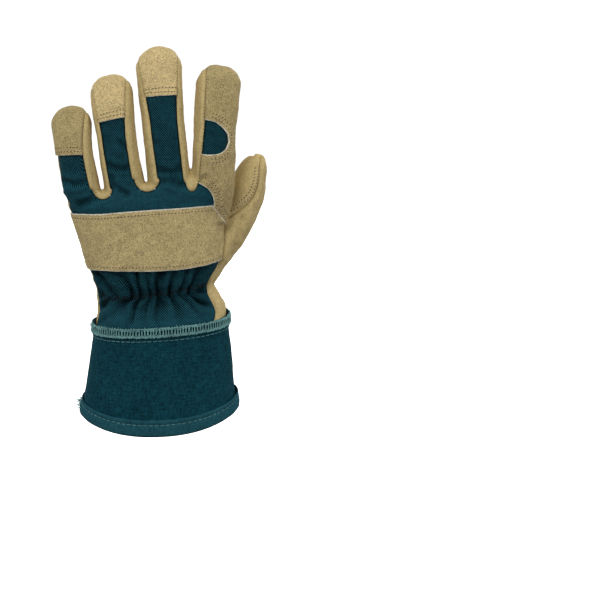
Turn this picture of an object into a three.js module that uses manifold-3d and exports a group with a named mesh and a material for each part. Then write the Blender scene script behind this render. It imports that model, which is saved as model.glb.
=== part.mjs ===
// A left-hand gardening glove with a suede leather palm and a cotton drill back, in the shape
// that it has when a hand fills it. It is sewn from flat panels: a leather palm, leather finger
// fronts and gussets, a cloth back under leather fingertips and a knuckle strap, a set-in
// leather thumb, and a stiff canvas cuff with a bound hem and an overlocked top seam.
// Millimetres. +Z points to the fingertips, the back of the hand faces -Y, the thumb is at +X,
// and the origin is the centre of the cuff's mouth, where the hand goes in.
import * as THREE from "three";
import { mergeVertices } from "three/addons/utils/BufferGeometryUtils.js";
import Module from "manifold-3d";

const wasm = await Module();
wasm.setup();

// Driving sizes
const cuffHeight = 53;
const cuffTopWidth = 87;
const cuffTopDepth = 59;
const cuffTopCentre = 1;
const hemWidth = 102;
const hemDepth = 80;
const hemDrop = 7; // the hem's curved cut hangs this much lower at the front and the back
const cuffWall = 1.5;
const handHeight = 89; // from the cuff's top seam to the roots of the fingers
const palmWidth = 103;
const palmDepth = 36;
const wristWidth = 75;
const wristDepth = 44;
const elasticHeight = 26; // the gathering elastic, above the cuff's top seam
const gatherDepth = 2.2;
const leather = 1.6;
const cloth = 1.2;
const gap = 0.32; // clearance between sewn pieces
const clothRecess = 0.9; // the cloth lies this far under the leather's face
const patchRise = 0.6; // leather sewn on the cloth stands this far above the leather's face
const seamAllowance = 7; // the cloth reaches this far under the leather of a fingertip
const sideSeam = 1.5; // the fingers' outer side seams lie this far to the palm side
const frontSeam = 4.5; // and the gussets' front seams this far
const rootLean = 2.5; // the fingers' roots lie this far to the back
const curl = 18; // the longest fingertip has curled this far to the palm side
const tuck = 8; // the hand's lower edge reaches this far into the cuff
const overlockHeight = 6;
const overlockWall = 1.7;
const bindingHeight = 8.5;
const bindingWall = 1;
const strapHeight = 36.5;
const strapTop = 77.5; // above the cuff's top seam, at the middle of the back
const weltWidth = 2.2;
const weltRise = 0.9;
const thumbReach = 63.6; // from the middle of the hand to the thumb's tip, sideways
const thumbHeight = 109.5; // from the cuff's top seam to the thumb's tip
const thumbForward = 20; // how far the thumb's tip lies to the palm side
const thumbWidth = 24;
const thumbDepth = 24;
const windowHeight = 20.5; // the half-moon opening in the index finger's leather
const windowWidth = 16;
const notchWidth = 7; // the slanting notch between the knuckle strap and the index leather
const notchHeight = 9.5;

// Slopes seen from the back, as rise over run to the thumb side.
const seamSlope = 0.07;
const hemSlope = 0.045;
const strapSlope = 0.05;

// Each finger's length is from the roots' level to its tip. Root and tip are the centre line's
// X, and bow is how far its middle bends off the straight line. Cap is how far the leather on
// the fingertip's back reaches down, and slope is the slant of its lower edge.
const fingers = [
  { name: "little", length: 51, width: 24.6, depth: 22, root: -49, tip: -56, bow: -1.2, cap: 30, slope: 0 },
  { name: "ring", length: 70.5, width: 26.4, depth: 24, root: -21.5, tip: -31, bow: -1.2, cap: 27, slope: 0.2 },
  { name: "middle", length: 87.5, width: 28, depth: 25, root: 7, tip: -1, bow: -1, cap: 29.5, slope: 0.06 },
  { name: "index", length: 76.5, width: 27.4, depth: 24, root: 33, tip: 38, bow: -0.8, cap: 30, slope: 0 },
];

// The gussets fill the slots between the fingers. Right and left are the seams that bound a slot,
// on the finger at its left and on the finger at its right, at each finger's tip, middle and
// root, as shares of half its width. Floor is the height of the slot's round end above the roots,
// as a share of the palm's width.
const slots = [
  { name: "little_ring", right: [0.78, 0.5, 0.55], left: [-0.8, -0.7, -0.72], floor: -0.045 },
  { name: "ring_middle", right: [0.7, 0.5, 0.5], left: [-0.82, -0.56, -0.54], floor: 0.003 },
  { name: "middle_index", right: [0.86, 0.68, 0.62], left: [-0.62, -0.55, -0.62], floor: 0.022 },
];

// A finger's half width and half depth along its length, as shares of its own.
const fingerProfile = [
  { along: -0.28, wide: 0.66, deep: 0.62 },
  { along: 0.0, wide: 0.98, deep: 1.02 },
  { along: 0.25, wide: 1.0, deep: 1.0 },
  { along: 0.5, wide: 0.93, deep: 0.94 },
  { along: 0.68, wide: 0.97, deep: 0.94 },
];
const tipRounding = 0.95; // a fingertip's length, as a share of half its width
const tipArc = [0, 27, 50, 70]; // degrees round a fingertip

// Sections of the hand. Rise is a share of the hand's height, centre and wide are shares of the
// palm's width, back and palm are the two sides' depths as shares of half the palm's depth, and
// slant is the section's rise over run.
const palmSections = [
  { rise: 0.33, centre: -0.03, wide: 0.36, back: 1.0, palm: 1.02, slant: 0.02 },
  { rise: 0.45, centre: -0.036, wide: 0.408, back: 1.15, palm: 1.2, slant: 0.02 },
  { rise: 0.62, centre: -0.052, wide: 0.432, back: 1.08, palm: 1.17, slant: 0.02 },
  { rise: 0.84, centre: -0.069, wide: 0.47, back: 0.98, palm: 1.05, slant: 0.05 },
  { rise: 0.95, centre: -0.072, wide: 0.49, back: 0.89, palm: 0.92, slant: 0.12 },
  { rise: 1.01, centre: -0.068, wide: 0.482, back: 0.76, palm: 0.72, slant: 0.16 },
  { rise: 1.045, centre: -0.066, wide: 0.46, back: 0.52, palm: 0.44, slant: 0.17 },
];

// Sections of the gathered wrist. Rise is a share of the elastic's height, centre, wide, back and
// palm are shares of the wrist's width and half sizes, and gather is a share of the gathers' depth.
const wristSections = [
  { rise: 0.42, centre: 0.016, wide: 1.09, back: 1.16, palm: 1.19, gather: 0.35 },
  { rise: 0.64, centre: 0.0, wide: 1.05, back: 1.1, palm: 1.13, gather: 0.7 },
  { rise: 0.88, centre: -0.03, wide: 1.01, back: 1.04, palm: 1.06, gather: 1.0 },
  { rise: 1.0, centre: -0.045, wide: 0.98, back: 0.97, palm: 1.03, gather: 0.8 },
  { rise: 1.14, centre: -0.042, wide: 1.02, back: 1.0, palm: 1.0, gather: 1.0 },
  { rise: 1.34, centre: -0.047, wide: 1.05, back: 0.96, palm: 0.97, gather: 0.5 },
  { rise: 1.5, centre: -0.047, wide: 0.9, back: 0.7, palm: 0.7, gather: 0 },
];
const gathers = 9;

// The thumb's centre line and sections. Out, up and forward are shares of the thumb's reach,
// height and forward lean, wide and deep are shares of half its width and depth.
const thumbSections = [
  { out: 0.27, up: 0.2, forward: 0.2, wide: 1.0, deep: 1.2 },
  { out: 0.486, up: 0.39, forward: 0.33, wide: 1.03, deep: 1.18 },
  { out: 0.633, up: 0.5, forward: 0.45, wide: 1.02, deep: 1.1 },
  { out: 0.752, up: 0.595, forward: 0.57, wide: 1.0, deep: 1.0 },
  { out: 0.842, up: 0.7, forward: 0.73, wide: 0.98, deep: 0.97 },
  { out: 0.892, up: 0.79, forward: 0.85, wide: 0.99, deep: 1.0 },
  { out: 0.926, up: 0.86, forward: 0.92, wide: 0.87, deep: 0.95 },
  { out: 0.955, up: 0.905, forward: 0.95, wide: 0.74, deep: 0.86 },
  { out: 0.98, up: 0.945, forward: 0.98, wide: 0.58, deep: 0.72 },
  { out: 0.996, up: 0.975, forward: 0.99, wide: 0.38, deep: 0.5 },
];

// The seams round the outer thumb piece, from the cuff to the tip. Rise is a share of the thumb's
// height, back and palm are the seams' X on the back and on the palm side as shares of its
// reach, and parting is the Y between the two sides, as a share of the thumb's forward lean.
const thumbSeams = [
  { rise: -0.2, back: 0.52, palm: 0.3, parting: 0.12 },
  { rise: 0.02, back: 0.53, palm: 0.36, parting: 0.12 },
  { rise: 0.12, back: 0.57, palm: 0.56, parting: 0.12 },
  { rise: 0.25, back: 0.48, palm: 0.58, parting: 0.12 },
  { rise: 0.4, back: 0.62, palm: 0.64, parting: 0.2 },
  { rise: 0.58, back: 0.645, palm: 0.75, parting: 0.5 },
  { rise: 0.61, back: 0.69, palm: 0.765, parting: 0.55 },
  { rise: 0.67, back: 0.71, palm: 0.8, parting: 0.65 },
  { rise: 0.7, back: 0.76, palm: 0.82, parting: 0.7 },
  { rise: 0.735, back: 0.88, palm: 0.84, parting: 0.75 },
  { rise: 0.78, back: 0.98, palm: 0.86, parting: 0.83 },
  { rise: 0.86, back: 1.03, palm: 0.9, parting: 0.92 },
  { rise: 1.1, back: 1.05, palm: 1.0, parting: 1.0 },
];

const rootZ = cuffHeight + handHeight;
const longest = Math.max(...fingers.map((finger) => finger.length));
const far = 150; // beyond every face, for cutters
const { degToRad, lerp, clamp } = THREE.MathUtils;

// Solids from rings and outlines

// A closed three.js geometry as a solid that can be cut and joined.
function solid(geometry) {
  for (const name of ["normal", "uv"]) geometry.deleteAttribute(name);
  const merged = mergeVertices(geometry, 1e-4);
  return new wasm.Manifold(
    new wasm.Mesh({
      numProp: 3,
      vertProperties: new Float32Array(merged.attributes.position.array),
      triVerts: new Uint32Array(merged.index.array),
    }),
  );
}

const unite = (parts) => parts.reduce((a, b) => a.add(b));
const cut = (body, cutters) => cutters.reduce((a, b) => a.subtract(b), body);

function middleOf(ring) {
  const sum = new THREE.Vector3();
  for (const point of ring) sum.add(point);
  return sum.divideScalar(ring.length);
}

// The quads between one ring and the next, as pairs of triangles.
function skin(faces, from, to, count) {
  for (let i = 0; i < count; i++) {
    const j = (i + 1) % count;
    faces.push(from + i, from + j, to + j, from + i, to + j, to + i);
  }
}

function meshed(points, faces) {
  const geometry = new THREE.BufferGeometry().setFromPoints(points);
  geometry.setIndex(faces);
  return solid(geometry);
}

// A closed skin over a stack of rings, anticlockwise seen from the last one, which ends in a pole.
function loft(rings, pole = middleOf(rings.at(-1))) {
  const count = rings[0].length;
  const points = [...rings.flat(), middleOf(rings[0]), pole];
  const faces = [];
  for (let r = 0; r + 1 < rings.length; r++) skin(faces, r * count, (r + 1) * count, count);
  const last = (rings.length - 1) * count;
  for (let i = 0; i < count; i++) {
    const j = (i + 1) % count;
    faces.push(j, i, points.length - 2);
    faces.push(last + i, last + j, points.length - 1);
  }
  return meshed(points, faces);
}

// A closed band: one profile, clockwise seen along the band's run, for each step round it.
function band(profiles) {
  const count = profiles[0].length;
  const faces = [];
  for (let r = 0; r < profiles.length; r++) {
    skin(faces, r * count, ((r + 1) % profiles.length) * count, count);
  }
  return meshed(profiles.flat(), faces);
}

// A prism along Y, from an outline of [x, z] points seen from the back.
function prism(outline, fromY = -far, toY = far) {
  const shape = new THREE.Shape(outline.map(([x, z]) => new THREE.Vector2(x, z)));
  const geometry = new THREE.ExtrudeGeometry(shape, { depth: toY - fromY, bevelEnabled: false });
  return solid(geometry.rotateX(Math.PI / 2).translate(0, toY, 0));
}

// A stack of level polygons: corners(z) gives their [x, y] points, anticlockwise from above.
function stack(levels, corners) {
  return loft(levels.map((z) => corners(z).map(([x, y]) => new THREE.Vector3(x, y, z))));
}

function arc(centre, radii, fromDegrees, toDegrees, steps) {
  return Array.from({ length: steps + 1 }, (_, i) => {
    const angle = degToRad(lerp(fromDegrees, toDegrees, i / steps));
    return [centre[0] + radii[0] * Math.cos(angle), centre[1] + radii[1] * Math.sin(angle)];
  });
}

// A column of a table at a place between its rows.
function between(rows, key, name, at) {
  const next = rows.findIndex((row) => row[key] >= at);
  if (next === 0) return rows[0][name];
  if (next < 0) return rows.at(-1)[name];
  const [a, b] = [rows[next - 1], rows[next]];
  return lerp(a[name], b[name], (at - a[key]) / (b[key] - a[key]));
}

// Angles round a section, from the little finger's side across the back, at -Y.
function anglesRound(onBack, onPalm) {
  const back = Array.from({ length: onBack }, (_, i) => 180 + (180 * i) / onBack);
  const palm = Array.from({ length: onPalm }, (_, i) => (180 * i) / onPalm);
  return [...back, ...palm].map(degToRad);
}

// A point of a rounded-box section: squareness 2 gives an ellipse, and more gives fuller corners.
function onSection(angle, halfWidth, halfDepth, squareness) {
  const power = 2 / squareness;
  const c = Math.cos(angle);
  const s = Math.sin(angle);
  return [
    halfWidth * Math.sign(c) * Math.abs(c) ** power,
    halfDepth * Math.sign(s) * Math.abs(s) ** power,
  ];
}

const onBack = (angle) => Math.sin(angle) < 0;

// The hand's form, grown or shrunk by an offset

const leastHalf = 0.3;
const grown = (half, offset) => Math.max(half + offset, leastHalf);

const palmAngles = anglesRound(18, 14);
function palmForm(offset) {
  const rings = palmSections.map((s) =>
    palmAngles.map((angle) => {
      const halfWidth = grown(s.wide * palmWidth, offset);
      const halfDepth = grown(((onBack(angle) ? s.back : s.palm) * palmDepth) / 2, offset);
      const [x, y] = onSection(angle, halfWidth, halfDepth, 2.5);
      const z = cuffHeight + s.rise * handHeight + s.slant * x;
      return new THREE.Vector3(s.centre * palmWidth + x, y, z);
    }),
  );
  const inset = new THREE.Vector3(0, 0, offset);
  rings.at(-1).forEach((point) => point.add(inset));
  return loft(rings);
}

// The wrist fits the cuff's top from the tuck to the overlocked edge, then narrows to the elastic.
const wristAngles = anglesRound(gathers * 4, 12);
const inCuff = cuffWall + gap;
function wristRows(reach) {
  const depth = cuffTopDepth / 2 - inCuff;
  const lower = [-reach, overlockHeight + gap].map((up) => ({
    up,
    centre: cuffTopCentre,
    width: cuffTopWidth / 2 - inCuff,
    back: depth,
    palm: depth,
    gather: 0,
  }));
  const upper = wristSections.map((s) => ({
    up: s.rise * elasticHeight,
    centre: s.centre * wristWidth,
    width: (s.wide * wristWidth) / 2,
    back: (s.back * wristDepth) / 2,
    palm: (s.palm * wristDepth) / 2,
    gather: s.gather,
  }));
  return [...lower, ...upper];
}

function gathered(angle) {
  const share = angle / Math.PI - 1; // 0 to 1 across the back
  if (share <= 0 || share >= 1) return 0;
  const fade = Math.min(1, Math.sin(share * Math.PI) * 1.8);
  return gatherDepth * fade * (0.5 - 0.5 * Math.cos(share * gathers * 2 * Math.PI));
}

function wristForm(offset, reach) {
  return loft(
    wristRows(reach).map((row) =>
      wristAngles.map((angle) => {
        const depth = grown(onBack(angle) ? row.back : row.palm, offset);
        const [x, y] = onSection(angle, grown(row.width, offset), depth, 2.2);
        const z = cuffHeight + row.up + seamSlope * x;
        return new THREE.Vector3(row.centre + x, y + row.gather * gathered(angle), z);
      }),
    ),
  );
}

// The centre line of a finger, at a share of its length above the roots.
function fingerPoint(finger, share) {
  const lean = (curl * finger.length) / longest;
  return new THREE.Vector3(
    lerp(finger.root, finger.tip, share) + finger.bow * 4 * share * (1 - share),
    lean * share * Math.abs(share) - rootLean * (1 - clamp(share, 0, 1)),
    rootZ + share * finger.length,
  );
}

const shareAt = (finger, z) => (z - rootZ) / finger.length;

// A round section square to a centre line that runs along a direction.
function ringAcross(centre, direction, halfWidth, halfDepth, angles, squareness) {
  const side = new THREE.Vector3(1, 0, 0).addScaledVector(direction, -direction.x).normalize();
  const face = new THREE.Vector3().crossVectors(direction, side);
  return angles.map((angle) => {
    const [u, v] = onSection(angle, halfWidth, halfDepth, squareness);
    return centre.clone().addScaledVector(side, u).addScaledVector(face, v);
  });
}

const fingerAngles = anglesRound(7, 7);
function fingerForm(finger, offset) {
  const halfWidth = finger.width / 2;
  const halfDepth = finger.depth / 2;
  const tipLength = tipRounding * halfWidth;
  const direction = (share) =>
    fingerPoint(finger, share + 0.01).sub(fingerPoint(finger, share - 0.01)).normalize();
  const rings = fingerProfile.map((p) =>
    ringAcross(
      fingerPoint(finger, p.along),
      direction(p.along),
      grown(p.wide * halfWidth, offset),
      grown(p.deep * halfDepth, offset),
      fingerAngles,
      2.3,
    ),
  );
  const lastShare = 1 - tipLength / finger.length;
  const tipStart = fingerPoint(finger, lastShare);
  const tipDirection = direction(lastShare);
  const onTip = (degrees, rise) => tipStart.clone().addScaledVector(tipDirection, rise * degrees);
  for (const degrees of tipArc) {
    const c = Math.cos(degToRad(degrees));
    const s = Math.sin(degToRad(degrees));
    rings.push(
      ringAcross(
        onTip(s, tipLength + offset),
        tipDirection,
        grown(halfWidth, offset) * c,
        grown(halfDepth * 0.9, offset) * c,
        fingerAngles,
        2.3,
      ),
    );
  }
  return loft(rings, onTip(1, tipLength + offset));
}

const thumbPoint = (row) =>
  new THREE.Vector3(
    row.out * thumbReach,
    row.forward * thumbForward,
    cuffHeight + row.up * thumbHeight,
  );

function thumbForm(offset) {
  const tip = new THREE.Vector3(thumbReach, thumbForward, cuffHeight + thumbHeight);
  const points = [...thumbSections.map(thumbPoint), tip];
  const rings = thumbSections.map((row, i) => {
    const ahead = points[i + 1];
    const behind = points[Math.max(i - 1, 0)];
    const direction = ahead.clone().sub(behind).normalize();
    const centre = points[i].clone().addScaledVector(direction, offset * clamp(1 - row.wide, 0, 1));
    return ringAcross(
      centre,
      direction,
      grown((row.wide * thumbWidth) / 2, offset),
      grown((row.deep * thumbDepth) / 2, offset),
      fingerAngles,
      2.2,
    );
  });
  return loft(rings, tip.clone().add(new THREE.Vector3(0, 0, offset)));
}

function handForm(offset, reach = tuck) {
  const digits = fingers.map((finger) => fingerForm(finger, offset));
  return unite([palmForm(offset), wristForm(offset, reach), thumbForm(offset), ...digits]);
}

// A hollow hand between two offsets, open at the wrist.
const shell = (outer, inner) => handForm(outer).subtract(handForm(inner, tuck * 2));

// The zones that the seams divide the hand into. Each can be grown by half the seams' clearance.

const half = gap / 2;
const fingerTopZ = (finger) => rootZ + finger.length + 10;

// The middle of the gap between two neighbouring fingers.
function slotMiddle(i, z) {
  const [a, b] = [fingers[i], fingers[i + 1]];
  const rightOfA = fingerPoint(a, shareAt(a, z)).x + a.width / 2;
  const leftOfB = fingerPoint(b, shareAt(b, z)).x - b.width / 2;
  return (rightOfA + leftOfB) / 2;
}

// The X of a seam beside a finger, from its shares at the finger's tip, middle and root.
function seamX(finger, [tip, middle, root], z) {
  const share = clamp(shareAt(finger, z), 0, 1);
  const part = share < 0.5 ? lerp(root, middle, share * 2) : lerp(middle, tip, share * 2 - 1);
  return fingerPoint(finger, shareAt(finger, z)).x + (part * finger.width) / 2;
}

// The levels at which the zones beside a finger bend.
function levelsOf(finger, from) {
  const levels = [from, rootZ + finger.length / 4, rootZ + finger.length / 2];
  return [...levels, rootZ + (finger.length * 3) / 4, rootZ + finger.length, fingerTopZ(finger)];
}

// The column of space that a finger stands in, up to the middle of the gaps at its sides.
function column(i, fromZ, toY = () => far, fromY = () => -far) {
  const finger = fingers[i];
  const left = (z) => (i === 0 ? -far : slotMiddle(i - 1, z));
  const right = (z) => (i === fingers.length - 1 ? far : slotMiddle(i, z));
  return stack(levelsOf(finger, fromZ), (z) => [
    [left(z), fromY(z)],
    [right(z), fromY(z)],
    [right(z), toY(z)],
    [left(z), toY(z)],
  ]);
}

const centreY = (finger, z) => fingerPoint(finger, Math.max(0, shareAt(finger, z))).y;
const overRoots = 2;

// Everything on the back of the side seams.
function backZone(grow) {
  const low = cuffHeight - far;
  const hand = prism(
    [[-far, low], [far, low], [far, rootZ + overRoots], [-far, rootZ + overRoots]],
    -far,
    sideSeam - rootLean + grow,
  );
  const backs = fingers.map((finger, i) =>
    column(i, rootZ, (z) => centreY(finger, z) + sideSeam + grow),
  );
  return unite([hand, ...backs]);
}

function slotFloor(i) {
  const z = rootZ + slots[i].floor * palmWidth;
  const left = seamX(fingers[i], slots[i].right, z);
  const right = seamX(fingers[i + 1], slots[i].left, z);
  const radius = (right - left) / 2;
  return { x: (left + right) / 2, z: z + radius, radius };
}

// The slot between two fingers that a gusset fills, from its round floor to beyond their tips.
function slotZone(i, grow) {
  const floor = slotFloor(i);
  const overlap = 0.05;
  const side = (finger, xFrom, xTo) =>
    stack(levelsOf(finger, floor.z), (z) => {
      const toY = centreY(finger, z) + frontSeam + grow;
      return [[xFrom(z), -far], [xTo(z), -far], [xTo(z), toY], [xFrom(z), toY]];
    });
  const [a, b] = [fingers[i], fingers[i + 1]];
  const middle = (z) => slotMiddle(i, z);
  const radius = floor.radius + grow;
  return unite([
    side(a, (z) => seamX(a, slots[i].right, z) - grow, (z) => middle(z) + overlap),
    side(b, (z) => middle(z) - overlap, (z) => seamX(b, slots[i].left, z) + grow),
    prism(arc([floor.x, floor.z], [radius, radius], 0, 345, 23), -far, frontSeam - rootLean + grow),
  ]);
}

// The outer thumb piece's zone, beyond its seams on the back and on the palm side.
function outerThumbZone(grow) {
  const value = (z, name) => between(thumbSeams, "rise", name, (z - cuffHeight) / thumbHeight);
  return stack(
    thumbSeams.map((row) => cuffHeight + row.rise * thumbHeight),
    (z) => {
      const back = value(z, "back") * thumbReach - grow;
      const palm = value(z, "palm") * thumbReach - grow;
      const parting = value(z, "parting") * thumbForward;
      return [[back, -far], [far, -far], [far, far], [palm, far], [palm, parting], [back, parting]];
    },
  );
}

// Everything above a sloping line, or under it where the far side is given as -far.
function beyondLine(atMiddle, slope, farSide = far) {
  const z = (x) => atMiddle + slope * x;
  const end = atMiddle + farSide;
  const outline = [[-far, z(-far)], [far, z(far)], [far, end], [-far, end]];
  return prism(farSide > 0 ? outline : outline.reverse());
}

const back = { less: backZone(-half), more: backZone(half) };
const slotsLess = slots.map((_, i) => slotZone(i, -half));
const slotsMore = slots.map((_, i) => slotZone(i, half));
const thumbLess = outerThumbZone(-half);
const thumbMore = outerThumbZone(half);

const leatherShell = shell(0, -leather);
const clothShell = shell(-clothRecess, -clothRecess - cloth);
const patchShell = shell(patchRise, -clothRecess + gap);

// The welt and the leather under it

// The welt's line over the palm, from the gusset by the index finger to the one by the little.
const weltLine = [2, 1, 0].map((i) => [slotMiddle(i, rootZ), slotFloor(i).z - weltWidth]);

function weltStrip(grow) {
  const reach = weltWidth / 2 + grow;
  const above = weltLine.map(([x, z]) => [x, z + reach]);
  const below = weltLine.map(([x, z]) => [x, z - reach]).reverse();
  return prism([...above, ...below], frontSeam - rootLean - grow);
}

// The column of the ring or middle finger, above the welt's line and a lift.
function frontZone(i, lift, fromY) {
  const line = weltLine.map(([x, z]) => [x, z + lift]);
  const [from, to] = [line[0], line.at(-1)];
  const top = rootZ + longest + far;
  const above = prism([[far, from[1]], ...line, [-far, to[1]], [-far, top], [far, top]]);
  return column(i, to[1] - weltWidth, undefined, fromY).intersect(above);
}

const weltSpan = prism([
  [weltLine[2][0], 0],
  [weltLine[0][0], 0],
  [weltLine[0][0], far * 2],
  [weltLine[2][0], far * 2],
]);
const welt = cut(shell(weltRise, -leather), slotsMore).intersect(weltStrip(0)).intersect(weltSpan);

// The leather palm, with the fronts of the little and index fingers and the thumb's inner side,
// and the separate fronts of the ring and middle fingers

const palmLeather = cut(leatherShell, [back.more, ...slotsMore, thumbMore]);
const fronts = [1, 2].map((i) => palmLeather.intersect(frontZone(i, weltWidth / 2 + gap)));
const palm = cut(palmLeather, [weltStrip(gap), frontZone(1, 0), frontZone(2, 0)]);
const outerThumb = leatherShell.intersect(thumbLess);

// The cloth back and the leather sewn on it

const onCloth = cut(patchShell.intersect(back.less), [...slotsMore, thumbMore]);

// The part of a finger's column beyond its cap's lower edge, and further up by a lift.
function capZone(i, lift) {
  const finger = fingers[i];
  const edge = rootZ + finger.length - finger.cap;
  const middle = fingerPoint(finger, shareAt(finger, edge)).x;
  return column(i, edge - finger.width).intersect(
    beyondLine(edge + lift - finger.slope * middle, finger.slope),
  );
}

const caps = [0, 1, 2].map((i) => onCloth.intersect(capZone(i, 0)));
const underCaps = fingers.map((_, i) => capZone(i, seamAllowance));
const backCloth = cut(clothShell.intersect(back.less), [...slotsMore, thumbMore, ...underCaps]);

// The index finger's leather runs from its tip down its outer side to the knuckle strap. A
// half-moon window and a scoop beside the strap show the cloth.
const strapTopZ = cuffHeight + strapTop;
function indexWrap() {
  const finger = fingers[3];
  const windowTop = rootZ + finger.length - finger.cap - gap;
  const windowX = seamX(finger, slots[2].left, windowTop);
  const moon = arc([windowX, windowTop - windowHeight / 2], [windowWidth, windowHeight / 2], -90, 90, 10);
  const window = prism([...moon, [windowX - far / 10, windowTop], [windowX - far / 10, windowTop - windowHeight]]);
  const scoopTop = rootZ + 0.05 * palmWidth;
  const scoopRadius = [windowWidth * 0.62, scoopTop - strapTopZ];
  const scoopX = windowX - scoopRadius[0] * 0.25;
  const scoop = arc([scoopX, strapTopZ], scoopRadius, 0, 90, 6);
  const scooped = prism([...scoop, [-far, scoopTop], [-far, strapTopZ - far], [scoop[0][0], strapTopZ - far]]);
  const region = beyondLine(strapTopZ + gap, strapSlope).add(notch(0));
  return cut(onCloth.intersect(column(3, strapTopZ - palmDepth)).intersect(region), [window, scooped]);
}

// The index leather reaches down outside the strap's end, along a slanting notch.
function notch(grow) {
  const thumbSeamX = between(thumbSeams, "rise", "back", 0.58) * thumbReach - half;
  const left = thumbSeamX - notchWidth - grow;
  const top = strapTopZ + strapSlope * left + 2 * gap;
  return prism([
    [left, top],
    [thumbSeamX - grow, top - notchHeight],
    [far, top - notchHeight],
    [far, top + notchHeight],
    [left, top + notchHeight],
  ]);
}

const strapZone = beyondLine(strapTopZ, strapSlope, -far)
  .intersect(beyondLine(strapTopZ - strapHeight, strapSlope));
const knuckleStrap = onCloth.intersect(strapZone).subtract(notch(gap));

// The gussets between the fingers

const gussets = slotsLess.map((zone) => leatherShell.intersect(zone));

// The canvas cuff, its bound hem and its overlocked top edge

const cuffAngles = anglesRound(18, 18);
const hemZ = (angle, x) => -hemDrop * Math.sin(angle) ** 2 + hemSlope * x;
const cuffFlare = [
  { up: 0, open: 0 },
  { up: 0.35, open: 0.42 },
  { up: 0.7, open: 0.77 },
  { up: 1, open: 1 },
];

// A point of the cuff at a share of its height, out from its face by an offset.
function onCuff(angle, share, offset, lift = 0) {
  const open = between(cuffFlare, "up", "open", share);
  const halfWidth = lerp(hemWidth, cuffTopWidth, open) / 2 + offset;
  const halfDepth = lerp(hemDepth, cuffTopDepth, open) / 2 + offset;
  const [x, y] = onSection(angle, halfWidth, halfDepth, 2.2);
  const z = lerp(hemZ(angle, x), cuffHeight + seamSlope * x, share) + lift;
  return new THREE.Vector3(lerp(0, cuffTopCentre, open) + x, y, z);
}

const cuffBottom = bindingWall + gap;
const cuff = band(
  cuffAngles.map((angle) => {
    const shares = cuffFlare.map((row) => row.up);
    const lift = (share) => (share === 0 ? cuffBottom : 0);
    const outer = shares.map((share) => onCuff(angle, share, 0, lift(share)));
    const inner = shares.map((share) => onCuff(angle, share, -cuffWall, lift(share)));
    return [...outer.reverse(), ...inner];
  }),
);

const binding = band(
  cuffAngles.map((angle) => {
    const top = bindingHeight / cuffHeight;
    const outer = gap + bindingWall;
    const inner = -cuffWall - gap;
    return [
      onCuff(angle, top, outer),
      onCuff(angle, 0, outer),
      onCuff(angle, 0, inner - bindingWall),
      onCuff(angle, top, inner - bindingWall),
      onCuff(angle, top, inner),
      onCuff(angle, 0, inner, bindingWall),
      onCuff(angle, 0, gap, bindingWall),
      onCuff(angle, top, gap),
    ];
  }),
);

const overlock = band(
  cuffAngles.map((angle) => {
    const inner = -cuffWall;
    const outer = inner + overlockWall;
    return [
      onCuff(angle, 1, outer, overlockHeight),
      onCuff(angle, 1, outer, gap),
      onCuff(angle, 1, inner, gap),
      onCuff(angle, 1, inner, overlockHeight),
    ];
  }),
);

// The finished pieces

const leatherColour = { color: 0xa8966a, roughness: 0.92, metalness: 0 };
const clothColour = { color: 0x16343c, roughness: 0.9, metalness: 0 };
const canvasColour = { color: 0x12323a, roughness: 0.85, metalness: 0 };
const bindingColour = { color: 0x24464e, roughness: 0.85, metalness: 0 };
const threadColour = { color: 0x5f8f8c, roughness: 0.6, metalness: 0 };

const glove = new THREE.Group();

function add(name, body, look) {
  const mesh = body.getMesh();
  const geometry = new THREE.BufferGeometry();
  geometry.setAttribute("position", new THREE.BufferAttribute(mesh.vertProperties, 3));
  geometry.setIndex(new THREE.BufferAttribute(mesh.triVerts, 1));
  geometry.computeVertexNormals();
  const piece = new THREE.Mesh(geometry, new THREE.MeshStandardMaterial(look));
  piece.name = name;
  glove.add(piece);
}

add("palm", palm, leatherColour);
add("ring_front", fronts[0], leatherColour);
add("middle_front", fronts[1], leatherColour);
add("finger_base_welt", welt, leatherColour);
add("outer_thumb", outerThumb, leatherColour);
slots.forEach((slot, i) => add(`gusset_${slot.name}`, gussets[i], leatherColour));
add("back_cloth", backCloth, clothColour);
caps.forEach((body, i) => add(`${fingers[i].name}_cap`, body, leatherColour));
add("index_wrap", indexWrap(), leatherColour);
add("knuckle_strap", knuckleStrap, leatherColour);
add("cuff", cuff, canvasColour);
add("hem_binding", binding, bindingColour);
add("overlocked_edge", overlock, threadColour);

export default glove;
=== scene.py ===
"""A left-hand gardening glove: suede leather palm, thumb, gussets and fingertips, a cotton drill
back gathered over elastic at the wrist, a leather knuckle strap and a stiff canvas cuff. Sizes are
in millimetres in the frame of the CAD model until a piece is finished, and then in metres."""
import bpy
import bmesh
import math
import numpy as np
from mathutils import Matrix, Vector
from mathutils.bvhtree import BVHTree
from mathutils.kdtree import KDTree


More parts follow.
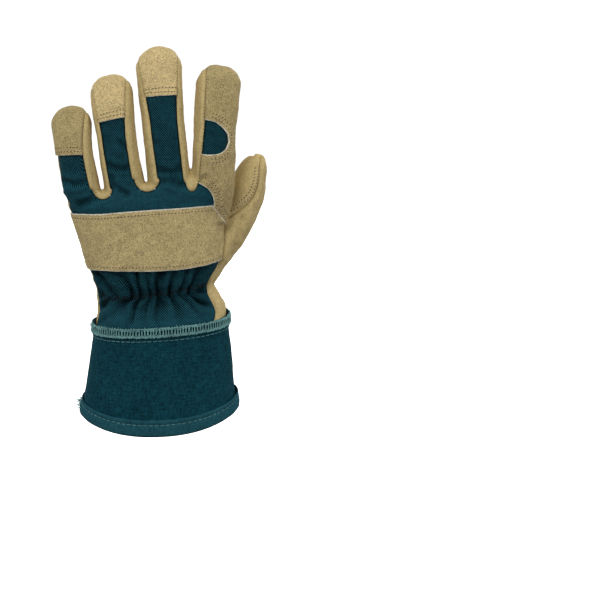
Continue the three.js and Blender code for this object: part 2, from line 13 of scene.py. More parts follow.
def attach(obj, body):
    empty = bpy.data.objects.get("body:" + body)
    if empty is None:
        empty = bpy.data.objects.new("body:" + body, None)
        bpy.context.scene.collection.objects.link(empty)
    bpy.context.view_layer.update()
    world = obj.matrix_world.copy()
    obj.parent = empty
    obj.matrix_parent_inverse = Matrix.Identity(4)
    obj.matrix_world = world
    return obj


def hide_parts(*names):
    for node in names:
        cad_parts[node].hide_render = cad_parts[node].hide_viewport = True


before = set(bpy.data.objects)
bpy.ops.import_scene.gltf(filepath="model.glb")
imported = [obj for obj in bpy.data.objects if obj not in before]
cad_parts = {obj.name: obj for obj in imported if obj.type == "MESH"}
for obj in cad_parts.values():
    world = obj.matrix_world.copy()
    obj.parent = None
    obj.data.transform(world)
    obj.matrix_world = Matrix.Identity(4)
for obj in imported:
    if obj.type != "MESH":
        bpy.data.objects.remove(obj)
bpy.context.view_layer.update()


# The camera stands where the photograph was taken from: level with the strap and a little above,
# seven tenths of a metre away. The glove is left of and above the middle of the picture.
def placed(name, data):
    """A new object in the scene that shows this data."""
    made = bpy.data.objects.new(name, data)
    bpy.context.collection.objects.link(made)
    return made


target = Vector((-0.0016, 0, 0.109))
elevation = math.radians(10)
camera_data = bpy.data.cameras.new("camera")
camera_data.lens = 66.14
camera_data.sensor_width = 36
camera_data.shift_x = 143 / 600
camera_data.shift_y = -60 / 600
camera = placed("camera", camera_data)
camera.location = target + 0.7 * Vector((0, -math.cos(elevation), math.sin(elevation)))
camera.rotation_euler = (target - camera.location).to_track_quat("-Z", "Y").to_euler()
bpy.context.scene.camera = camera


# A white studio: a floor well under the hem, a big soft lamp above the camera, a fill from each
# side and one behind, in an even white room.
def area_lamp(name, place, size, power):
    data = bpy.data.lights.new(name, "AREA")
    data.shape = "DISK"
    data.size = size
    data.energy = power
    lamp = placed(name, data)
    lamp.location = place
    lamp.rotation_euler = (Vector((0, 0, 0.11)) - lamp.location).to_track_quat("-Z", "Y").to_euler()


area_lamp("key", Vector((-0.45, -0.85, 0.95)), 0.7, 9.5)
area_lamp("front_right", Vector((0.75, -0.9, 0.35)), 0.9, 6.5)
area_lamp("left", Vector((-1.05, -0.1, 0.25)), 0.8, 4.2)
area_lamp("right", Vector((1.05, 0.1, 0.3)), 0.8, 3.2)
area_lamp("over", Vector((0.1, 0.1, 1.3)), 0.9, 4.0)
area_lamp("behind_right", Vector((0.5, 0.9, 0.75)), 0.9, 8.0)
area_lamp("behind_left", Vector((-0.7, 0.95, 0.25)), 0.9, 4.0)
room = bpy.data.worlds.new("room")
room.use_nodes = True
room.node_tree.nodes["Background"].inputs["Color"].default_value = (1, 1, 1, 1)
room.node_tree.nodes["Background"].inputs["Strength"].default_value = 1.05
bpy.context.scene.world = room
room.cycles_visibility.diffuse = False
room.cycles_visibility.glossy = False
bpy.context.scene.view_settings.view_transform = "Standard"


def object_of(bm, name):
    """An object of this name with the mesh that was made in bm."""
    mesh = bpy.data.meshes.new(name)
    bm.to_mesh(mesh)
    bm.free()
    return placed(name, mesh)


bm = bmesh.new()
bmesh.ops.create_circle(bm, cap_ends=True, segments=64, radius=3.0)
bmesh.ops.translate(bm, verts=bm.verts, vec=(0, 0, -0.06))
floor = object_of(bm, "floor")
floor_white = bpy.data.materials.new("floor_white")
floor_white.use_nodes = True
floor_shader = floor_white.node_tree.nodes["Principled BSDF"]
floor_shader.inputs["Base Color"].default_value = (0.9, 0.9, 0.9, 1)
floor_shader.inputs["Roughness"].default_value = 0.9
floor_shader.inputs["Emission Color"].default_value = (1, 1, 1, 1)
floor_shader.inputs["Emission Strength"].default_value = 1.1
floor.visible_diffuse = False
floor.data.materials.append(floor_white)

# The hand that fills the glove gives every panel its form. Rings are lofted for the palm, the
# wrist, each finger and the thumb, remeshed into one skin and smoothed where they join.
MM = 0.001
cuff_height = 53.0
cuff_top_width = 87.0
cuff_top_depth = 59.0
hand_height = 89.0
palm_width = 103.0
palm_depth = 36.0
elastic_height = 26.0
root_z = cuff_height + hand_height
root_lean = 2.5
curl = 18.0
longest = 87.5
seam_slope = 0.07
fingers = {
    "little": dict(length=51, width=24.6, depth=22, root=-49, tip=-56, bow=-1.2),
    "ring": dict(length=70.5, width=26.4, depth=24, root=-21.5, tip=-31, bow=-1.2),
    "middle": dict(length=87.5, width=28, depth=25, root=7, tip=-1, bow=-1),
    "index": dict(length=76.5, width=27.4, depth=24, root=33, tip=38, bow=-0.8),
}
# Along the finger, then shares of its half width and half depth.
finger_profile = [
    (-0.28, 0.66, 0.62), (0, 0.955, 1.02), (0.25, 0.94, 1.0), (0.5, 0.92, 0.94), (0.68, 0.97, 0.94),
    (0.9, 1, 0.9),
]
# Rise, centre, half width, back and palm depth, slant, as in the CAD model's tables.
palm_sections = [
    (0.33, -0.03, 0.36, 1.0, 1.02, 0.02), (0.45, -0.036, 0.408, 1.15, 1.2, 0.02),
    (0.62, -0.052, 0.432, 1.08, 1.17, 0.02), (0.84, -0.069, 0.47, 0.98, 1.05, 0.05),
    (0.95, -0.072, 0.49, 0.89, 0.92, 0.12), (1.01, -0.068, 0.482, 0.76, 0.72, 0.16),
    (1.045, -0.066, 0.46, 0.52, 0.44, 0.17),
]
# Height above the cuff's top, centre, half width, back and palm depth, in millimetres.
wrist_sections = [
    (-8, 1.0, 41.7, 27.7, 27.7), (6.3, 1.0, 41.7, 27.7, 27.7), (10.9, 1.2, 40.9, 25.5, 26.2),
    (16.6, 0, 39.4, 24.2, 24.9), (22.9, -2.2, 37.9, 22.9, 23.3), (26, -3.4, 36.8, 21.3, 22.7),
    (29.6, -3.2, 38.2, 22.0, 22.0),
    (34.8, -3.5, 39.4, 21.1, 21.3), (40, -3.5, 33.8, 15.4, 15.4),
]
# Rise, then out, forward, half width and half depth of the thumb's sections.
thumb_sections = [
    (74.9, 17.2, 4.0, 12.0, 14.4), (95.7, 30.9, 6.6, 12.4, 14.2), (107.8, 40.3, 9.0, 12.2, 13.2),
    (118.2, 47.8, 11.4, 12.0, 12.0), (129.7, 53.6, 14.6, 11.8, 11.6), (139.5, 56.7, 17.0, 11.9, 12.0),
    (147.2, 58.9, 18.4, 10.4, 11.4), (152.1, 60.7, 19.0, 8.9, 10.3), (156.5, 62.3, 19.6, 7.0, 8.6),
    (159.8, 63.3, 19.8, 4.6, 6.0), (161.6, 63.6, 20.0, 2.2, 3.0),
]


def along(rows, at):
    """The columns of a table at places between its rows, on a smooth curve through them."""
    rows = np.array(rows, float)
    keys = rows[:, 0]
    at = np.asarray(at, float)
    steps = np.diff(rows[:, 1:], axis=0) / np.diff(keys)[:, None]
    slopes = np.vstack([steps[:1], (steps[1:] + steps[:-1]) / 2, steps[-1:]])
    k = np.clip(np.searchsorted(keys, at, "right") - 1, 0, len(keys) - 2)
    span = (keys[k + 1] - keys[k])[..., None]
    t = np.clip((at - keys[k])[..., None] / span, 0, 1)
    a, b = rows[k, 1:], rows[k + 1, 1:]
    return (a * (2 * t**3 - 3 * t**2 + 1) + b * (3 * t**2 - 2 * t**3)
            + slopes[k] * span * (t**3 - 2 * t**2 + t) + slopes[k + 1] * span * (t**3 - t**2))


def rounded(angles, half_width, half_depth, squareness):
    """A section between an ellipse, at squareness 2, and a rounded box."""
    c, s = np.cos(angles), np.sin(angles)
    power = 2 / squareness
    return half_width * np.sign(c) * abs(c) ** power, half_depth * np.sign(s) * abs(s) ** power


def ringed(bm, rings):
    """Bridges circles of vertices laid on rings of points, and returns the edges of each circle."""
    edges = []
    for ring in rings:
        made = bmesh.ops.create_circle(bm, segments=len(ring), radius=1)["verts"]
        for vert, point in zip(made, ring):
            vert.co = point
        edges.append(list({edge for vert in made for edge in vert.link_edges}))
    for lower, upper in zip(edges, edges[1:]):
        bmesh.ops.bridge_loops(bm, edges=lower + upper)
    return edges


def loft(bm, rings):
    """A skin through rings of points, closed at both ends."""
    edges = ringed(bm, rings)
    for end in (edges[0], edges[-1]):
        bmesh.ops.edgeloop_fill(bm, edges=end)


angles = np.linspace(0, 2 * math.pi, 96, endpoint=False)
bm = bmesh.new()

rings = []
for rise in np.arange(0.33, 1.0451, 0.0125):
    centre, wide, back, palm, slant = along(palm_sections, rise)
    depth = np.where(np.sin(angles) < 0, back, palm) * palm_depth / 2
    x, y = rounded(angles, wide * palm_width, depth, 2.4)
    rings.append(np.stack([centre * palm_width + x, y, cuff_height + rise * hand_height + slant * x], 1))
loft(bm, rings)

rings = []
for up in np.arange(-8, 40.01, 1.0):
    centre, wide, back, palm = along(wrist_sections, up)
    x, y = rounded(angles, wide, np.where(np.sin(angles) < 0, back, palm), 2.2)
    rings.append(np.stack([centre + x, y, cuff_height + up + seam_slope * x], 1))
loft(bm, rings)


def finger_point(finger, share):
    """The centre line of a finger, at a share of its length above the roots."""
    share = np.asarray(share, float)
    bow = finger["bow"] * 4 * share * (1 - share)
    x = finger["root"] + (finger["tip"] - finger["root"]) * share + bow
    lean = curl * finger["length"] / longest
    y = lean * share * abs(share) - root_lean * (1 - np.clip(share, 0, 1))
    return np.stack([x, y, root_z + share * finger["length"]], -1)


def ring_across(centre, direction, x, y):
    """A section laid square to a direction."""
    direction = direction / np.linalg.norm(direction)
    side = np.array([1, 0, 0]) - direction * direction[0]
    side /= np.linalg.norm(side)
    face = np.cross(direction, side)
    return centre + x[:, None] * side + y[:, None] * face


for finger in fingers.values():
    half_width, half_depth = finger["width"] / 2, finger["depth"] / 2
    tip_length = 0.95 * half_width
    last = 1 - tip_length / finger["length"]
    rings = []
    for share in np.arange(-0.28, last, 0.02):
        wide, deep = along(finger_profile, share)
        heading = finger_point(finger, share + 0.01) - finger_point(finger, share - 0.01)
        rings.append(ring_across(finger_point(finger, share), heading,
                                 *rounded(angles, wide * half_width, deep * half_depth, 2.25)))
    heading = finger_point(finger, last + 0.01) - finger_point(finger, last - 0.01)
    heading /= np.linalg.norm(heading)
    for turn in np.radians(np.arange(0, 86, 5)):
        section = rounded(angles, half_width * math.cos(turn), 0.9 * half_depth * math.cos(turn), 2.25)
        centre = finger_point(finger, last) + heading * tip_length * math.sin(turn)
        rings.append(ring_across(centre, heading, *section))
    loft(bm, rings)

rings = []
thumb_foot, thumb_tip = thumb_sections[0][0], thumb_sections[-1][0]
for up in np.concatenate([np.arange(thumb_foot, 156, 1.5), np.arange(156, thumb_tip + 0.1, 0.5)]):
    out, forward, wide, deep = along(thumb_sections, up)
    above, below = min(up + 1.5, thumb_tip), max(up - 1.5, thumb_foot)
    ahead, behind = along(thumb_sections, above), along(thumb_sections, below)
    heading = np.array([ahead[0] - behind[0], ahead[1] - behind[1], above - below])
    rings.append(ring_across(np.array([out, forward, up]), heading, *rounded(angles, wide, deep, 2.1)))
loft(bm, rings)
bmesh.ops.recalc_face_normals(bm, faces=bm.faces)
form = object_of(bm, "form")


def applied(piece):
    """The piece's mesh with its modifiers applied."""
    graph = bpy.context.evaluated_depsgraph_get()
    mesh = bpy.data.meshes.new_from_object(piece.evaluated_get(graph))
    piece.modifiers.clear()
    piece.data = mesh
    return mesh


def places(mesh, kind="co"):
    """A mesh's vertices, or their normals, as an array."""
    values = np.empty(len(mesh.vertices) * 3)
    mesh.vertices.foreach_get(kind, values)
    return values.reshape(-1, 3)


def eased(low, high, value):
    """0 below low and 1 above high, with a smooth step between."""
    t = np.clip((value - low) / (high - low), 0, 1)
    return t * t * (3 - 2 * t)


def plateau(low, start, end, high, value):
    """1 from start to end, easing to 0 at low and at high."""
    return eased(low, start, value) * (1 - eased(end, high, value))


def nearest_of(points):
    """A tree that finds the nearest of these points."""
    tree = KDTree(len(points))
    for i, point in enumerate(points):
        tree.insert(point, i)
    tree.balance()
    return tree


remesh = form.modifiers.new("skin", "REMESH")
remesh.mode = "VOXEL"
remesh.voxel_size = 0.85
applied(form)
points = places(form.data)
x, y, z = points.T
at_roots = 0.5 * plateau(126, 136, 146, 158, z)
at_thumb = plateau(84, 96, 124, 134, z) * eased(24, 34, x)
at_wrist = np.where(y > 0, plateau(62, 72, 98, 110, z), plateau(80, 86, 92, 102, z))
softness = np.clip(np.maximum.reduce([at_roots, at_thumb, at_wrist, np.full(len(x), 0.22)]), 0, 1)
group = form.vertex_groups.new(name="soft")
levels = np.round(softness * 20).astype(int)
for level in np.unique(levels):
    group.add(np.nonzero(levels == level)[0].tolist(), float(level) / 20, "REPLACE")
smooth = form.modifiers.new("soften", "SMOOTH")
smooth.factor = 0.5
smooth.iterations = 22
smooth.vertex_group = "soft"
applied(form)
skin_points = places(form.data)
skin_normals = places(form.data, "normal")
skin_tree = nearest_of(skin_points)

# The seams divide the form into panels. Each is a field that is zero on the seam and counts the
# millimetres to either side of it: inside the back, inside a slot between two fingers, inside the
# outer thumb, and above a line over the palm where the ring and middle fingers' fronts start.
names = list(fingers)
slots = [
    dict(right=(0.78, 0.5, 0.55), left=(-0.93, -0.72, -0.72), floor=137.4, point=1.0),
    dict(right=(0.74, 0.5, 0.5), left=(-0.96, -0.62, -0.54), floor=142.3, point=1.0),
    dict(right=(0.86, 0.68, 0.68), left=(-0.62, -0.55, -0.68), floor=142.0, point=1.7),
]
side_seam = 1.5
front_seam = 4.5
# Height, then the outer thumb's edge on the back and on the palm side, and the Y between them.
thumb_seams = [
    (31, 33.1, 19.1, 2.4), (55.2, 33.7, 22.9, 2.4), (66.1, 36.3, 35.6, 2.4), (80.4, 31.0, 36.9, 2.4),
    (96.8, 39.4, 40.7, 4.0), (116.5, 40.9, 47.7, 10.0), (121.5, 41.2, 49.0, 11.5),
    (123.5, 43.0, 50.0, 12.3), (127, 49.0, 51.2, 13.2), (130, 54.0, 52.2, 14.2),
    (135.4, 59.6, 53.8, 15.4), (142.9, 62.8, 55.5, 17.2), (155, 64.5, 58.5, 18.9),
    (173, 67.5, 63.6, 20.0),
]


def share_at(finger, z):
    return (z - root_z) / finger["length"]


def seam_x(finger, shares, z):
    """The X of a seam beside a finger, from its shares at the finger's root, middle and tip."""
    tip, middle, root = shares
    share = share_at(finger, z)
    part = np.interp(np.clip(share, 0, 1), [0, 0.5, 1], [root, middle, tip])
    return finger_point(finger, share)[..., 0] + part * finger["width"] / 2


def slot_middle(i, z):
    a, b = fingers[names[i]], fingers[names[i + 1]]
    right_of_a = finger_point(a, share_at(a, z))[..., 0] + a["width"] / 2
    left_of_b = finger_point(b, share_at(b, z))[..., 0] - b["width"] / 2
    return (right_of_a + left_of_b) / 2


def finger_at(x, z):
    """Which finger's column a place is in, from 0 for the little finger's."""
    return sum((x > slot_middle(i, z)).astype(int) for i in range(3))


def centre_y(x, z):
    depths = [finger_point(f, np.maximum(share_at(f, z), 0))[..., 1] for f in fingers.values()]
    return np.choose(finger_at(x, z), depths)


def in_back(x, y, z):
    return centre_y(x, z) + side_seam - y


def in_slot(i, x, y, z):
    a, b, slot = fingers[names[i]], fingers[names[i + 1]], slots[i]
    left, right = seam_x(a, slot["right"], z), seam_x(b, slot["left"], z)
    low_left, low_right = seam_x(a, slot["right"], slot["floor"]), seam_x(b, slot["left"], slot["floor"])
    radius = (low_right - low_left) / 2
    middle, level = (low_left + low_right) / 2, slot["floor"] + radius * slot["point"]
    round_floor = radius - np.hypot(x - middle, (z - level) / slot["point"])
    sides = np.where(z > level, np.minimum(x - left, right - x), round_floor)
    return np.minimum(sides, centre_y(x, z) + front_seam - y)


def in_slots(x, y, z):
    return np.maximum.reduce([in_slot(i, x, y, z) for i in range(3)])


def in_outer_thumb(x, y, z):
    back, palm, parting = along(thumb_seams, z).T
    return np.maximum(np.minimum(x - back, parting + 2 - y), np.minimum(x - palm, y - parting + 2))


welt_line = [(-36.6, 135.4), (-11, 140.2), (20.4, 142.1)]


def over_welt(x, z):
    """Millimetres above the welt's line, and below zero outside the two fingers that it serves."""
    line = np.interp(x, *np.array(welt_line).T)
    return np.minimum(z - line, np.minimum(x - slot_middle(0, z), slot_middle(2, z) - x))


# Creases pressed into the leather and cloth by the fingers: depth, width and line, on the palm
# side or the back. The rest of the surface waves a little, as split leather does.
palm_creases = [
    (4.2, 5.0, [(40, 132), (36, 115), (31, 95), (24, 72)]), (1.4, 1.5, [(42, 130), (38, 114), (33, 92)]),
    (2.2, 6.0, [(-20, 128), (-29, 108), (-35, 84)]), (1.2, 2.8, [(43, 139), (34, 144), (20, 146)]),
    (0.8, 2.0, [(45, 122), (36, 119), (28, 121)]), (0.5, 3.5, [(20, 118), (4, 114), (-12, 118)]),
    (0.5, 2.6, [(22, 75), (6, 71), (-14, 73)]), (0.6, 3.0, [(46, 168), (36, 167), (26, 170)]),
    (0.3, 2.5, [(14, 172), (4, 173), (-8, 172)]), (0.3, 2.4, [(-17, 164), (-25, 165), (-34, 164)]),
    (0.4, 2.2, [(-46, 150), (-52, 151), (-60, 154)]), (0.4, 2.4, [(62, 130), (55, 127), (46, 128)]),
]
back_creases = [
    (1.4, 1.9, [(-40, 150), (-52, 146), (-60, 148)]), (1.4, 1.8, [(-12, 160), (-22, 156), (-32, 158)]),
    (1.4, 1.9, [(-24, 172), (-16, 165)]), (1.4, 2.0, [(18, 160), (8, 154), (-6, 157)]),
    (1.2, 1.8, [(10, 150), (-2, 147)]), (1.2, 1.9, [(52, 122), (50, 112), (46, 98)]),
    (1.4, 1.9, [(28, 150), (20, 146), (8, 147)]), (1.5, 1.9, [(-30, 144), (-40, 137), (-50, 133)]),
    (1.4, 1.7, [(-30, 150), (-27, 144), (-20, 140)]),
]


def ripple(points, length, seed, stretch=(1, 1, 1)):
    """An even waviness of about the given length, between -1 and 1 mostly."""
    chance = np.random.default_rng(seed)
    total = np.zeros(len(points))
    for _ in range(14):
        heading = chance.normal(size=3)
        heading = heading / np.linalg.norm(heading) / np.array(stretch)
        waves = 2 * math.pi / length * chance.uniform(0.6, 1.6)
        total += np.sin(points @ heading * waves + chance.uniform(0, 6.3))
    return total / 3.8


def from_line(x, z, line):
    """The distance of places from a line of points, seen from the back or the palm side."""
    nearest = np.full(len(x), 1e3)
    for (x0, z0), (x1, z1) in zip(line, line[1:]):
        run, rise = x1 - x0, z1 - z0
        t = np.clip(((x - x0) * run + (z - z0) * rise) / (run**2 + rise**2), 0, 1)
        nearest = np.minimum(nearest, np.hypot(x - x0 - t * run, z - z0 - t * rise))
    return nearest


def lengths_along(line):
    """How far along a line each of its points is."""
    return np.concatenate([[0], np.cumsum(np.linalg.norm(np.diff(line, axis=0), axis=1))])


def curved(line, steps=8):
    """A smooth line through a few points."""
    line = np.array(line, float)
    runs = lengths_along(line)
    at = np.linspace(0, runs[-1], steps * (len(line) - 1) + 1)
    return along(np.column_stack([runs, line]), at)


def bell(off, width):
    """1 where off is zero, and falling smoothly to 0 a few widths away."""
    return np.exp(-((off / width) ** 2))


def creased(points, normals):
    """How far the creases sink the skin at each of its points."""
    x, y, z = points.T
    sunk = np.zeros(len(points))
    for creases, facing in ((palm_creases, 1), (back_creases, -1)):
        seen = eased(0.05, 0.5, normals[:, 1] * facing)
        for depth, width, line in creases:
            d = from_line(x, z, curved(line))
            sunk += seen * depth * (bell(d, width) - 0.35 * bell(d - 2 * width, width))
    return sunk


skin_creases = creased(skin_points, skin_normals)


def leather_wave(points):
    return 0.32 * ripple(points, 19, 3) + 0.16 * ripple(points, 8, 4) + 0.05 * ripple(points, 3.2, 5)


# A panel is cut from the form along its seams, laid at its own level, sunk where it is turned in
# and sewn, and given its thickness. Its raw edges stay crisp and show the leather's pale core.
def panel_sheet(fields):
    """Cuts the part of the skin where all the fields are positive, and returns it as a bmesh."""
    values = np.minimum.reduce(fields(*skin_points.T))
    values[abs(values) < 0.08] = 0
    bm = bmesh.new()
    bm.from_mesh(form.data)
    inside = dict(zip(bm.verts, values.tolist()))
    outside = [face for face in bm.faces if max(inside[vert] for vert in face.verts) <= 0]
    bmesh.ops.delete(bm, geom=outside, context="FACES")
    inside = {vert: inside[vert] for vert in bm.verts}
    on_seam = [vert for vert, value in inside.items() if value == 0]
    for edge in list(bm.edges):
        a, b = edge.verts
        if inside[a] * inside[b] < 0:
            _, vert = bmesh.utils.edge_split(edge, a, inside[a] / (inside[a] - inside[b]))
            inside[vert] = 0
            on_seam.append(vert)
    bmesh.ops.connect_verts(bm, verts=on_seam)
    outside = [face for face in bm.faces if any(inside[vert] < 0 for vert in face.verts)
               or all(inside[vert] == 0 for vert in face.verts)]
    bmesh.ops.delete(bm, geom=outside, context="FACES")
    return bm


cut_lines = {}
seam_lines = []


def chained(bm, wanted, spots, normals):
    """The runs of boundary vertices whose numbers are wanted, as lines of spots and of normals."""
    ahead = {i: [] for i in wanted}
    for edge in bm.edges:
        a, b = edge.verts[0].index, edge.verts[1].index
        if edge.is_boundary and a in wanted and b in wanted:
            ahead[a].append(b)
            ahead[b].append(a)
    lines = []
    for start in sorted(wanted, key=lambda i: len(ahead[i])):
        run = [start]
        while ahead[run[-1]]:
            following = ahead[run[-1]].pop()
            ahead[following].remove(run[-1])
            run.append(following)
        if len(run) > 6:
            lines.append((spots[run], normals[run]))
    return lines


def thickened(piece, thickness):
    """Gives a sheet its thickness inwards, with the next material on its rim."""
    wall = piece.modifiers.new("thickness", "SOLIDIFY")
    wall.thickness = thickness
    wall.offset = -1
    wall.material_offset_rim = 1
    return piece


def panel(name, fields, wave, level, thickness, raw=(), tuck_depth=1.15, tuck_width=0.75,
          creases=1.0):
    """A panel, laid level millimetres off the form. Fields lists its edges, raw says which of them
    are cut edges that show, and its other edges are tucked in by a depth over a width."""
    bm = panel_sheet(fields)
    flat = np.array([vert.co[:] for vert in bm.verts])
    nearest = [skin_tree.find(co)[1] for co in flat]
    normals, sunk = skin_normals[nearest], skin_creases[nearest]
    bm.verts.index_update()
    rim = np.array([vert.index for vert in bm.verts if vert.is_boundary])
    edges = np.abs(np.stack(fields(*flat[rim].T)))
    turned = rim[[kind not in raw for kind in edges.argmin(0)]]
    cut = rim[[kind in raw for kind in edges.argmin(0)]]
    rise = wave(flat) - creases * sunk
    if len(turned):
        tree = nearest_of(flat[turned])
        reach = np.array([tree.find(co)[2] for co in flat])
        rise *= 1 - 0.85 * bell(reach, 2.5)
        shares = [share_at(finger, flat[:, 2]) for finger in fingers.values()]
        up_finger = np.choose(finger_at(flat[:, 0], flat[:, 2]), shares)
        tuck = tuck_depth * (1 - 0.6 * eased(0.7, 0.9, up_finger))
        rise += 0.22 * bell(reach - 2.6, 1.5)
        rise -= tuck * np.exp(-((reach / tuck_width) ** 1.4))
    laid = flat + normals * (level + rise)[:, None]
    for vert, co in zip(bm.verts, laid):
        vert.co = co
    cut_runs = chained(bm, set(cut.tolist()), laid - normals * 0.42, normals)
    cut_lines[name] = [line for line, _ in cut_runs]
    if name.startswith("gusset"):
        seam_lines.extend(chained(bm, set(turned.tolist()), laid, normals))
    return thickened(object_of(bm, name), thickness)


def finished(piece, materials, slot, *nodes):
    """Brings a piece to metres, gives it its finish and puts it in the place of its CAD nodes."""
    mesh = applied(piece) if piece.modifiers else piece.data
    mesh.transform(Matrix.Scale(MM, 4))
    mesh.materials.clear()
    for material in materials:
        mesh.materials.append(material)
    if len(materials) == 1:
        mesh.polygons.foreach_set("material_index", [0] * len(mesh.polygons))
    mesh.polygons.foreach_set("use_smooth", [True] * len(mesh.polygons))
    mesh.set_sharp_from_angle(angle=math.radians(52))
    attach(piece, "root")
    if nodes:
        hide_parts(*nodes)
    return piece


class Socket:
    """A shader socket that takes arithmetic, so that a pattern reads as a sum."""

    def __init__(self, tree, link):
        self.tree, self.link = tree, link

    def node(self, kind, inputs=(), output=0, **settings):
        """Any node, with its settings first and then its inputs, by name or number."""
        made = self.tree.nodes.new(kind)
        for key, value in settings.items():
            setattr(made, key, value)
        for key, value in dict(inputs).items():
            if isinstance(value, Socket):
                self.tree.links.new(value.link, made.inputs[key])
            else:
                made.inputs[key].default_value = value
        return Socket(self.tree, made.outputs[output])

    def maths(self, operation, *values):
        return self.node("ShaderNodeMath", dict(enumerate(values)), operation=operation)

    def __add__(self, other):
        return self.maths("ADD", self, other)

    def __sub__(self, other):
        return self.maths("SUBTRACT", self, other)

    def __rsub__(self, other):
        return self.maths("SUBTRACT", other, self)

    def __mul__(self, other):
        return self.maths("MULTIPLY", self, other)

    __radd__, __rmul__ = __add__, __mul__

    def noise(self, size, detail=3.0, output=0):
        """Noise whose blots are about this many millimetres wide."""
        inputs = {"Vector": self, "Scale": 1 / (size * MM), "Detail": detail, "Roughness": 0.6}
        return self.node("ShaderNodeTexNoise", inputs, output=output)

    def between(self, low, high):
        """0 below low, 1 above high."""
        inputs = {"Value": self, "From Min": low, "From Max": high}
        return self.node("ShaderNodeMapRange", inputs, interpolation_type="SMOOTHSTEP")

    def tint(self, low, high):
        """A colour between two, by this value."""
        inputs = {"Factor": self, "A": (*low, 1), "B": (*high, 1)}
        return self.node("ShaderNodeMix", inputs, output=2, data_type="RGBA")


def finish_material(name):
    """A new material, its shader, and its object coordinates."""
    material = bpy.data.materials.new(name)
    material.use_nodes = True
    tree = material.node_tree
    shader = tree.nodes["Principled BSDF"]
    coordinates = tree.nodes.new("ShaderNodeTexCoord")
    return material, shader, Socket(tree, coordinates.outputs["Object"])


def dressed(material, shader, colour, roughness, height, strength, distance):
    """Links a material's colour, roughness and relief to its shader."""
    links = material.node_tree.links
    links.new(colour.link, shader.inputs["Base Color"])
    links.new(roughness.link, shader.inputs["Roughness"])
    inputs = {"Strength": strength, "Distance": distance * MM, "Height": height}
    relief = colour.node("ShaderNodeBump", inputs)
    links.new(relief.link, shader.inputs["Normal"])
    shader.inputs["Specular IOR Level"].default_value = 0.2


def mixed(a, b, share):
    """One colour laid over another, by a share."""
    return a.node("ShaderNodeMix", {"Factor": share, 6: a, 7: b}, output=2, data_type="RGBA")


# Suede split leather: a matt nap that takes the light in soft blots, with darker flecks, in one
# tan for the palm side and a paler one for the patches. Where it is cut, its pale core shows.
def suede(name, colour, contrast=1.0):
    material, shader, place = finish_material(name)
    nap, grain = place.noise(0.42, 2), place.noise(0.8, 2)
    blots, hide = place.noise(2.2, 2), place.noise(17, 3)
    share = (nap * 0.44 + grain * 0.36 + blots * 0.1 + hide * 0.1).between(0.39, 0.61)
    low, high = 1 - 0.5 * contrast, 1 + 0.4 * contrast
    tone = share.tint([c * low for c in colour], [min(1, c * high) for c in colour])
    flecks = grain.between(0.57, 0.67) * (0.3 * contrast)
    dark = blots.tint([c * 0.4 for c in colour], [c * 0.6 for c in colour])
    relief = nap * 0.5 + grain * 0.7
    dressed(material, shader, mixed(tone, dark, flecks), 0.86 + nap * 0.12, relief, 0.7, 0.4)
    shader.inputs["Specular IOR Level"].default_value = 0.1
    return material


def low_edge(x, z):
    """Millimetres above the edge that is sewn inside the cuff."""
    return z - (cuff_height - 5 + seam_slope * (x - 1))


# The palm is one piece with the fronts of the little and index fingers and the thumb's inner side.
# It is turned in at every seam and wraps over the thumb to its double-stitched seam on the back.
def palm_fields(x, y, z):
    return (-in_back(x, y, z), -in_slots(x, y, z), -in_outer_thumb(x, y, z), -over_welt(x, z),
            low_edge(x, z))


tan = suede("tan_suede", (0.495, 0.382, 0.176), 0.6)
deep_tuck = dict(tuck_depth=1.8, tuck_width=0.9)
palm = panel("palm_leather", palm_fields, leather_wave,
             level=0, thickness=1.6, raw=(4,), **deep_tuck)
finished(palm, [tan], "suede", "palm")


# The ring and middle fingers have fronts of their own, sewn to the palm under a narrow folded welt
# that lies across the roots of both.
def front_fields(i):
    def fields(x, y, z):
        beside = np.minimum(x - slot_middle(i - 1, z), slot_middle(i, z) - x)
        return (-in_back(x, y, z), -in_slots(x, y, z), over_welt(x, z), beside)
    return fields


shaded_tan = suede("shaded_tan_suede", (0.385, 0.302, 0.142))
for i, node in ((1, "ring_front"), (2, "middle_front")):
    front = panel(node + "_leather", front_fields(i), leather_wave, level=0, thickness=1.6)
    finished(front, [shaded_tan], "suede", node)


def welt_fields(x, y, z):
    line = np.interp(x, *np.array(welt_line).T)
    ends = np.minimum(x - slot_middle(0, z) - 0.6, slot_middle(2, z) - x - 0.6)
    return (1.1 - abs(z - line), y - 2.0, ends)


pale_tan = suede("pale_tan_suede", (0.475, 0.375, 0.18))
welt = panel("welt_leather", welt_fields, leather_wave,
             level=1.5, thickness=1.9, tuck_depth=1.3, tuck_width=0.7)
finished(welt, [pale_tan], "suede", "finger_base_welt")


# The outer thumb runs from the thumb's tip down its outer side to the cuff. It meets the palm's
# leather on the back at the double-stitched seam, and on the palm side along the thumb's front.
def thumb_fields(x, y, z):
    return (in_outer_thumb(x, y, z), low_edge(x, z))


outer_thumb = panel("outer_thumb_leather", thumb_fields, leather_wave,
                    level=0, thickness=1.6, raw=(1,), **deep_tuck)
finished(outer_thumb, [tan], "suede", "outer_thumb")


# Each gusset is a long strip that lines the slot between two fingers and rolls up at its floor. Its
# walls draw in above the floor, so that the slots stay open as in the photograph.
def gusset_wave(points):
    z = points[:, 2]
    return 0.6 * leather_wave(points) - 0.5 * plateau(141, 147, 156, 172, z)


for i, node in enumerate(("gusset_little_ring", "gusset_ring_middle", "gusset_middle_index")):
    def gusset_fields(x, y, z, i=i):
        return (in_slot(i, x, y, z),)

    gusset = panel(node + "_leather", gusset_fields, gusset_wave,
                   level=0.3, thickness=1.7, creases=0)
    finished(gusset, [tan], "suede", node)


